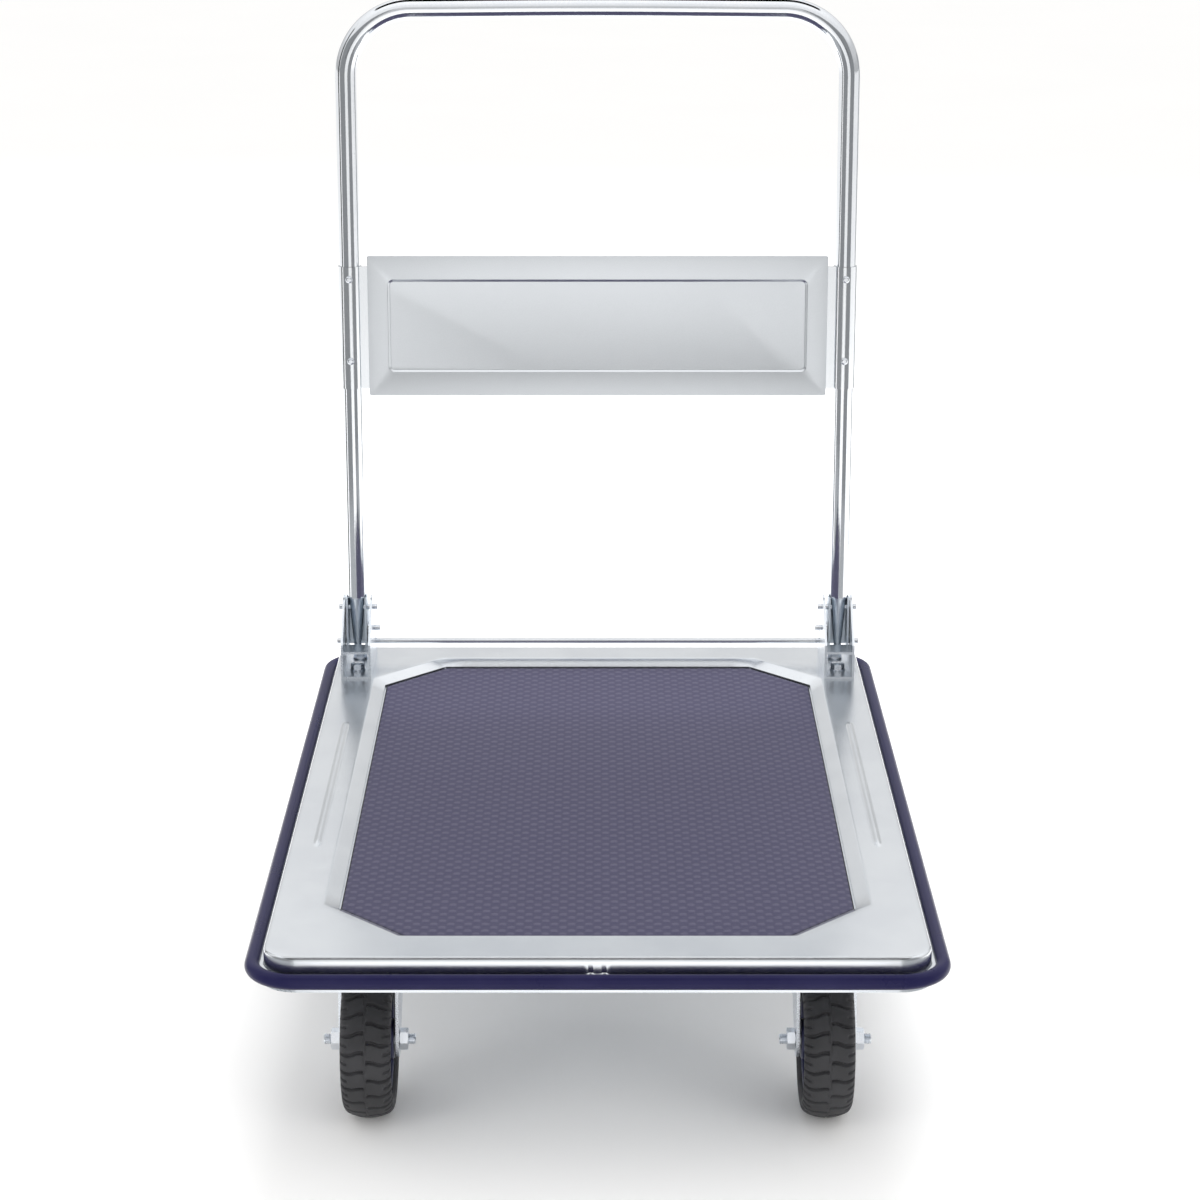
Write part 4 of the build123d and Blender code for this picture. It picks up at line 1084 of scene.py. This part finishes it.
@dataclass
class Casters:
    """The four casters: wheels, forks, axles and nuts."""

    track: float = 204.3
    front_y: float = -323.5
    kingpin_y: float = 285.0
    trail: float = 42.0
    leg: float = 26.7
    axle_radius: float = 5.0
    axle_length: float = 82.4
    thread: float = 15.0
    nut_flats: float = 17.0
    nut_height: float = 8.0
    axle_z: float = 70.0
    plate_low: float = 162.6
    plate_high: float = 166.6
    plate_half_x: float = 50.0
    plate_half_y: float = 65.0
    plate_corner: float = 8.0
    fixed_front: float = 4.0
    fixed_rear: float = 125.0
    swivel_top: float = 154.1
    swivel_half: float = 34.0

    def axle(self, name: str, x: float, y: float) -> bpy.types.Object:
        """A threaded axle."""
        points = Fastener.stud(self.axle_radius, self.axle_length, self.thread)
        laid = Fastener.lay_x(points, x, y, self.axle_z)
        return Fastener.add(Skin(), laid, False).piece(name, Edges.FOLDED)

    def nuts(self, skin: Skin, x: float, y: float) -> Skin:
        """Adds the two nuts of one axle, a washer's thickness of chamfer towards the legs."""
        for sign in (-1, 1):
            shape = Fastener.nut(self.nut_flats, self.axle_radius + 0.02, self.nut_height, math.pi / 6)
            laid = Fastener.lay_x(shape, x + sign * (self.leg + 0.05), y, self.axle_z, sign)
            Fastener.add(skin, laid, True)
        return skin

    def fixed_fork(self, x: float) -> Skin:
        """A front fork with the plate that bolts it to the deck."""
        front, rear = self.front_y - self.fixed_front, self.front_y + self.fixed_rear
        skin = Fork(x, self.front_y, self.plate_low, front, rear).skin(Skin())
        size = self.plate_half_x, self.plate_half_y, self.plate_corner
        return plate(skin, x, (front + rear) / 2, *size, self.plate_low, self.plate_high)

    def swivel_fork(self, x: float) -> Skin:
        """A rear fork, which trails behind its kingpin."""
        front, rear = self.kingpin_y - self.swivel_half, self.kingpin_y + self.swivel_half
        return Fork(x, self.kingpin_y + self.trail, self.swivel_top, front, rear).skin(Skin())

    def build(self, wardrobe: Wardrobe) -> None:
        """Makes and dresses the casters."""
        fixed_nuts = Skin()
        for side, sign in (("left", -1), ("right", 1)):
            x = sign * self.track
            for end, y, carrier in (
                ("front", self.front_y, "deck"), ("rear", self.kingpin_y + self.trail, f"swivel_{side}"),
            ):
                tag = f"{end}_{side}"
                wheel, turning = Wheel(x, y), f"wheel_{tag}"
                wardrobe.dress(wheel.tyre(f"tread_{tag}"), Finishes.TYRE, turning, "tyre", f"tyre_{tag}")
                wardrobe.dress(wheel.rim(f"wheel_rim_{tag}"), Finishes.RIM, turning, "rim", f"rim_{tag}")
                stud = self.axle(f"axle_stud_{tag}", x, y)
                wardrobe.dress(stud, Finishes.HARDWARE, carrier, "zinc_hardware", f"axle_{tag}")
            self.nuts(fixed_nuts, x, self.front_y)
            rear = self.nuts(Skin(), x, self.kingpin_y + self.trail).piece(f"rear_nuts_{side}", Edges.CRISP)
            swivel, bolted = f"swivel_{side}", f"axle_nuts_rear_{side}"
            wardrobe.dress(rear, Finishes.HARDWARE, swivel, "zinc_hardware", bolted)
            front = self.fixed_fork(x).piece(f"front_fork_{side}", Edges.FOLDED)
            wardrobe.dress(front, Finishes.CASTER, "deck", "zinc_caster", f"fixed_fork_{side}")
            turning_fork = self.swivel_fork(x).piece(f"rear_fork_{side}", Edges.FOLDED)
            wardrobe.dress(turning_fork, Finishes.CASTER, swivel, "zinc_caster", f"swivel_fork_{side}")
        nuts = fixed_nuts.piece("front_nuts", Edges.CRISP)
        wardrobe.dress(nuts, Finishes.HARDWARE, "deck", "zinc_hardware", "axle_nuts_front")


# ---------------------------------------------------------------- handle
@dataclass
class Handle:
    """The bent handle tube and the panel across it, drawn upright about the pin and then leaned back."""

    pivot_y: float = 366.0
    pivot_z: float = 261.3
    lean: float = 2.0
    post_x: float = 264.0
    radius: float = 11.1
    wall: float = 1.5
    start: float = 12.05
    rise: float = 647.9
    arch: float = 2.5
    bend: float = 70.0
    arch_radius: float = 9000.0
    panel_half: float = 245.0
    panel_foot: float = 237.5
    panel_height: float = 150.5
    panel_sheet: float = 1.2
    panel_corner: float = 2.0
    panel_forward: float = 8.0
    press_side: float = 21.5
    press_end: float = 25.5
    press_depth: float = 2.0
    press_slope: float = 2.0
    press_corner: float = 6.0

    def stand(self, points: Array) -> Array:
        """Leans points back about the pin and carries them to their place."""
        lean = math.radians(-self.lean)
        y = points[..., 1] * math.cos(lean) - points[..., 2] * math.sin(lean)
        z = points[..., 1] * math.sin(lean) + points[..., 2] * math.cos(lean)
        return np.stack([points[..., 0], self.pivot_y + y, self.pivot_z + z], -1)

    def line(self) -> tuple[Array, Array]:
        """The tube's middle line as runs of constant curvature: a post, a bend, half the top bar, the arch
        and the mirror of these. On each run the heading turns evenly, and its points are that turn's chords.

        Returns:
            Points by XZ, and the heading at each in radians.
        """
        tilt = math.atan2(self.arch, self.post_x)
        tangent = self.bend * math.tan((math.pi / 2 - tilt) / 2)
        crest = self.arch_radius * math.tan(tilt)
        post = self.rise - self.arch - self.start - tangent
        bar = math.hypot(self.post_x, self.arch) - tangent - crest
        turn = math.pi / 2 - tilt
        runs = [(post, 0.0, 12), (self.bend * turn, -turn, 26), (bar, 0.0, 6)]
        runs += [(self.arch_radius * 2 * tilt, -2 * tilt, 8), *runs[::-1]]
        place, heading = np.array([-self.post_x, self.start]), math.pi / 2
        points, headings = [place[None]], [np.array([heading])]
        for length, bent, count in runs:
            share = np.linspace(0, 1, count + 1)[1:]
            half = bent * share / 2
            chord = length * share * np.sinc(half / math.pi)
            way = heading + half
            run = place + chord[:, None] * np.stack([np.cos(way), np.sin(way)], -1)
            points.append(run)
            headings.append(heading + bent * share)
            place, heading = run[-1], heading + bent
        return np.vstack(points), np.concatenate(headings)

    def tube(self) -> bpy.types.Object:
        """The tube: a circle carried along the middle line on the outside, and back along the inside.

        Returns:
            The piece.
        """
        middle, heading = self.line()
        turn = np.linspace(0, 2 * math.pi, 56, endpoint=False)[None]
        grids = []
        for radius in (self.radius, self.radius - self.wall):
            x = middle[:, :1] - np.sin(heading)[:, None] * radius * np.cos(turn)
            z = middle[:, 1:] + np.cos(heading)[:, None] * radius * np.cos(turn)
            y = np.broadcast_to(radius * np.sin(turn), x.shape)
            grids.append(np.stack([x, y, z], -1))
        both = np.concatenate([grids[0], grids[1][::-1]])
        made = Skin().grid(self.stand(both), wrap_rows=True, wrap_columns=True)
        return made.piece("push_tube", Edges.FOLDED)

    def panel(self) -> bpy.types.Object:
        """The panel: outlines drawn one inside another, flat to the press, down its slope and flat again, and
        the same one sheet behind.

        Returns:
            The piece.
        """
        steps = Steps.even(24, 10, 12)
        middle = self.panel_foot + self.panel_height / 2
        half_x, half_z = self.panel_half, self.panel_height / 2
        inner_x, inner_z = half_x - self.press_side, half_z - self.press_end
        front = -self.panel_forward

        def row(grow: float, depth: float, outer: bool) -> Array:
            """An outline at a depth, grown from the press or from the panel's edge."""
            hx, hz = (half_x, half_z) if outer else (inner_x, inner_z)
            corner = self.panel_corner if outer else self.press_corner
            plan = Ring(hx + grow, -hz - grow, hz + grow, corner + grow).points(steps)
            return np.column_stack([plan[:, 0], np.full(len(plan), depth), plan[:, 1] + middle])

        d, w, s, t = self.press_depth, self.press_slope, 0.35, self.panel_sheet
        face = [(0.6, 0.0), (0.2, 0.08), (-0.3, 0.34)]
        face += [(-w + 0.4, d - 0.34), (-w - 0.1, d - 0.08), (-w - 0.6, d)]
        rows = [row(g, front + y, False) for g, y in face[::-1]]
        rows += [row(g, front + y, True) for g, y in ((-s, 0), (0, s), (0, t - s), (-s, t))]
        rows += [row(g + t * 0.6, front + t + y, False) for g, y in face]
        made = Skin().grid(self.stand(np.stack(rows)), wrap_columns=True)
        made.cap(self.stand(rows[0])).cap(self.stand(rows[-1]))
        return made.piece("press_panel", Edges.CRISP)

    def build(self, wardrobe: Wardrobe) -> None:
        """Makes and dresses the handle's pieces."""
        wardrobe.dress(self.tube(), Finishes.TUBE, "handle", "handle_tube", "handle_tube")
        wardrobe.dress(self.panel(), Finishes.PANEL, "handle", "panel", "handle_panel")


# ---------------------------------------------------------------- hinge bolts
@dataclass
class HingeBolts:
    """The hexagon bolts that hold the hinge brackets down."""

    x: float = 262.7
    rows: tuple[float, float] = (340.0, 380.0)
    seat: float = 199.25
    flats: float = 13.0
    head: float = 5.5
    radius: float = 4.0
    foot: float = 183.3
    shank_steps: int = 32

    def build(self, wardrobe: Wardrobe) -> None:
        """Makes and dresses the bolts: a chamfered head over a round shank."""
        skin = Skin()
        r = np.array([[self.radius - 0.6, self.radius, self.radius]])
        z = np.array([[self.foot, self.foot + 0.8, self.seat + 0.5]])
        turn = np.linspace(0, 2 * math.pi, self.shank_steps, endpoint=False)[:, None]
        shank = np.stack([r * np.cos(turn), r * np.sin(turn), np.broadcast_to(z, (len(turn), 3))], -1)
        for sign in (-1, 1):
            for y in self.rows:
                head = Fastener.nut(self.flats, 0.0, self.head, math.pi / 6, both=False)
                Fastener.add(skin, Fastener.lay_z(head, sign * self.x, y, self.seat), False)
                Fastener.add(skin, Fastener.lay_z(shank, sign * self.x, y, 0.0), False)
        bolts = skin.piece("hinge_bolts", Edges.CRISP)
        wardrobe.dress(bolts, Finishes.HARDWARE, "deck", "zinc_hardware", "bracket_bolts")


# ---------------------------------------------------------------- the rest of the frame
class FramePaint:
    """Finishes for the frame nodes whose own shape is right."""

    BY_START: tuple[tuple[str, Any], ...] = (
        ("deck_frame", Finishes.FRAME), ("cross_channel", Finishes.FRAME), ("deck_ribs", Finishes.FRAME),
        ("bush_", Finishes.BUSH), ("hinge_bracket", Finishes.BRACKET), ("knuckle", Finishes.KNUCKLE),
        ("panel_clamp", Finishes.CLAMP), ("release_bar", Finishes.TUBE), ("swivel_", Finishes.CASTER),
    )

    @classmethod
    def build(cls, wardrobe: Wardrobe) -> int:
        """Puts a finish on every node that still shows.

        Args:
            wardrobe: Where the materials are made.

        Returns:
            How many nodes were finished.
        """
        shown = {name: node for name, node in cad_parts.items() if not node.hide_render}
        for name, node in shown.items():
            found = [finish for start, finish in cls.BY_START if name.startswith(start)]
            wardrobe.paint(node, found[0] if found else Finishes.HARDWARE)
        return len(shown)


# ---------------------------------------------------------------- studio
@dataclass
class Studio:
    """A pale floor, a soft white surround, soft lights and the camera."""

    camera_place: tuple[float, float, float] = (0.0, -2.792, 1.247)
    camera_pitch: float = -17.21
    camera_lens: float = 90.4
    shift_x: float = 0.002
    shift_y: float = 0.0
    floor_reach: float = 30000.0
    floor_drop: float = 0.3
    card_near: float = 950.0
    card_far: float = 2000.0
    card_height: float = 1600.0

    def floor(self) -> None:
        """The floor, a wide flat sheet."""
        reach = np.linspace(-self.floor_reach, self.floor_reach, 5)
        x, y = np.meshgrid(reach, reach)
        points = np.stack([x, y, np.full_like(x, -self.floor_drop)], -1)
        made = Skin().grid(points).piece("floor", Edges.ROUND)
        if made.data.polygons[0].normal.z < 0:
            made.data.flip_normals()
        sheet = NodeSheet("floor_paper")
        cloud = sheet.noise(2.0, 2.0, 0.5)
        tone = sheet.mix(cloud, (0.96, 0.955, 0.945, 1.0), (0.98, 0.975, 0.965, 1.0))
        made.data.materials.append(sheet.finish(Base_Color=tone, Roughness=0.9, Specular_IOR_Level=0.1))
        made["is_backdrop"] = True

    def surround(self) -> None:
        """A white sky that darkens towards the horizon, in smooth steps of the direction's height."""
        sky = SkySheet("surround")
        high = sky.height()
        strength = 0.55 + 0.15 * high.between(0.02, 0.22) + 0.25 * high.between(0.28, 0.42)
        strength = strength + 0.25 * high.between(0.5, 0.95)
        sky.finish(Color=(1.0, 1.0, 1.0, 1.0), Strength=strength)

    def card(self, name: str, points: Array, tone: float) -> None:
        """A plain sheet that only shows in reflections, as a darker patch of the studio.

        Args:
            name: Its name.
            points: Its grid of points, in millimetres.
            tone: How bright it is.
        """
        made = Skin().grid(points).piece(name, Edges.ROUND)
        sheet = NodeSheet(name)
        made.data.materials.append(sheet.finish(
            Base_Color=(0.0, 0.0, 0.0, 1.0), Roughness=1.0, Specular_IOR_Level=0.0,
            Emission_Color=(0.96, 0.98, 1.0, 1.0), Emission_Strength=tone,
        ))
        made.visible_camera = made.visible_diffuse = made.visible_shadow = False
        made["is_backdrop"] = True

    def cards(self) -> None:
        """The darker patches: one on each side of the front, folded where it meets the floor, a flag over the
        handle, one above the deck's front edge and one at each side."""
        profile = (self.card_near, 1.5), (self.card_far, 2.0), (self.card_far, self.card_height)
        for name, start, stop in (("card_front_left", -66, -15), ("card_front_right", 15, 56)):
            turn = np.radians(np.linspace(start, stop, 16))
            rows = [
                np.stack([reach * np.sin(turn), 370 - reach * np.cos(turn), np.full(len(turn), z)], -1)
                for reach, z in profile
            ]
            self.card(name + "_floor", np.stack(rows[:2]), 0.50)
            self.card(name, np.stack(rows[1:]), 0.30)

        def flat(x: tuple[float, float], y: tuple[float, float], z: tuple[float, float]) -> Array:
            """A rectangle between two corners, level if its two heights are one."""
            first = [[x[0], y[0], z[0]], [x[1], y[0] if z[0] == z[1] else y[1], z[0]]]
            last = [[x[0], y[1] if z[0] == z[1] else y[0], z[1]], [x[1], y[1], z[1]]]
            return np.array([first, last])

        self.card("card_over", flat((-900, 900), (270, 835), (1900, 1900)), 0.0)
        self.card("card_edge", flat((-700, 700), (-1130, -430), (900, 900)), 0.0)
        self.card("card_left", flat((-1150, -1150), (120, 340), (0, 1500)), 0.05)
        self.card("card_right", flat((1200, 1200), (840, 1390), (0, 1000)), 0.40)

    def lamp(self, name: str, place: tuple[float, float, float], size: float, power: float) -> None:
        """A square soft light that looks at the middle of the truck.

        Args:
            name: Its name.
            place: Where it stands, in metres.
            size: Side of the square, in metres.
            power: In watts.
        """
        data = bpy.data.lights.new(name, "AREA")
        data.shape, data.size, data.energy = "SQUARE", size, power
        lamp = bpy.data.objects.new(name, data)
        bpy.context.scene.collection.objects.link(lamp)
        lamp.location = place
        aim = Vector((0, 0, 0.3)) - Vector(place)
        lamp.rotation_euler = aim.to_track_quat("-Z", "Y").to_euler()
        lamp.visible_glossy = False

    def camera(self) -> None:
        """The camera, level across and looking down at the deck from its open end."""
        data = bpy.data.cameras.new("camera")
        data.lens, data.sensor_width = self.camera_lens, 36.0
        data.shift_x, data.shift_y = self.shift_x, self.shift_y
        camera = bpy.data.objects.new("camera", data)
        bpy.context.scene.collection.objects.link(camera)
        camera.location = self.camera_place
        camera.rotation_euler = (math.radians(90 + self.camera_pitch), 0, 0)
        bpy.context.scene.camera = camera

    def build(self) -> None:
        """Sets the studio up."""
        self.floor()
        self.surround()
        self.cards()
        self.lamp("key", (0.3, 2.3, 2.7), 2.0, 95.0)
        self.lamp("fill_left", (-2.4, -2.0, 1.0), 1.5, 20.0)
        self.lamp("fill_right", (2.4, -2.0, 1.0), 1.5, 20.0)
        bpy.context.scene.view_settings.view_transform = "Standard"
        self.camera()


def main() -> None:
    """Builds the truck's pieces in order and reports each."""
    logging.basicConfig(level=logging.INFO, format="%(message)s")
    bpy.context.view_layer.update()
    wardrobe = Wardrobe()
    for part in (Deck(), Casters(), Handle(), HingeBolts()):
        part.build(wardrobe)
        log.info("built %s", type(part).__name__)
    log.info("finished %d frame nodes", FramePaint.build(wardrobe))
    Studio().build()
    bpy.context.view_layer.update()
    faces = {piece.name: len(piece.data.polygons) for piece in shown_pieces() if piece.type == "MESH"}
    log.info("%d pieces, %d faces", len(faces), sum(faces.values()))


if __name__ == "__main__":
    main()
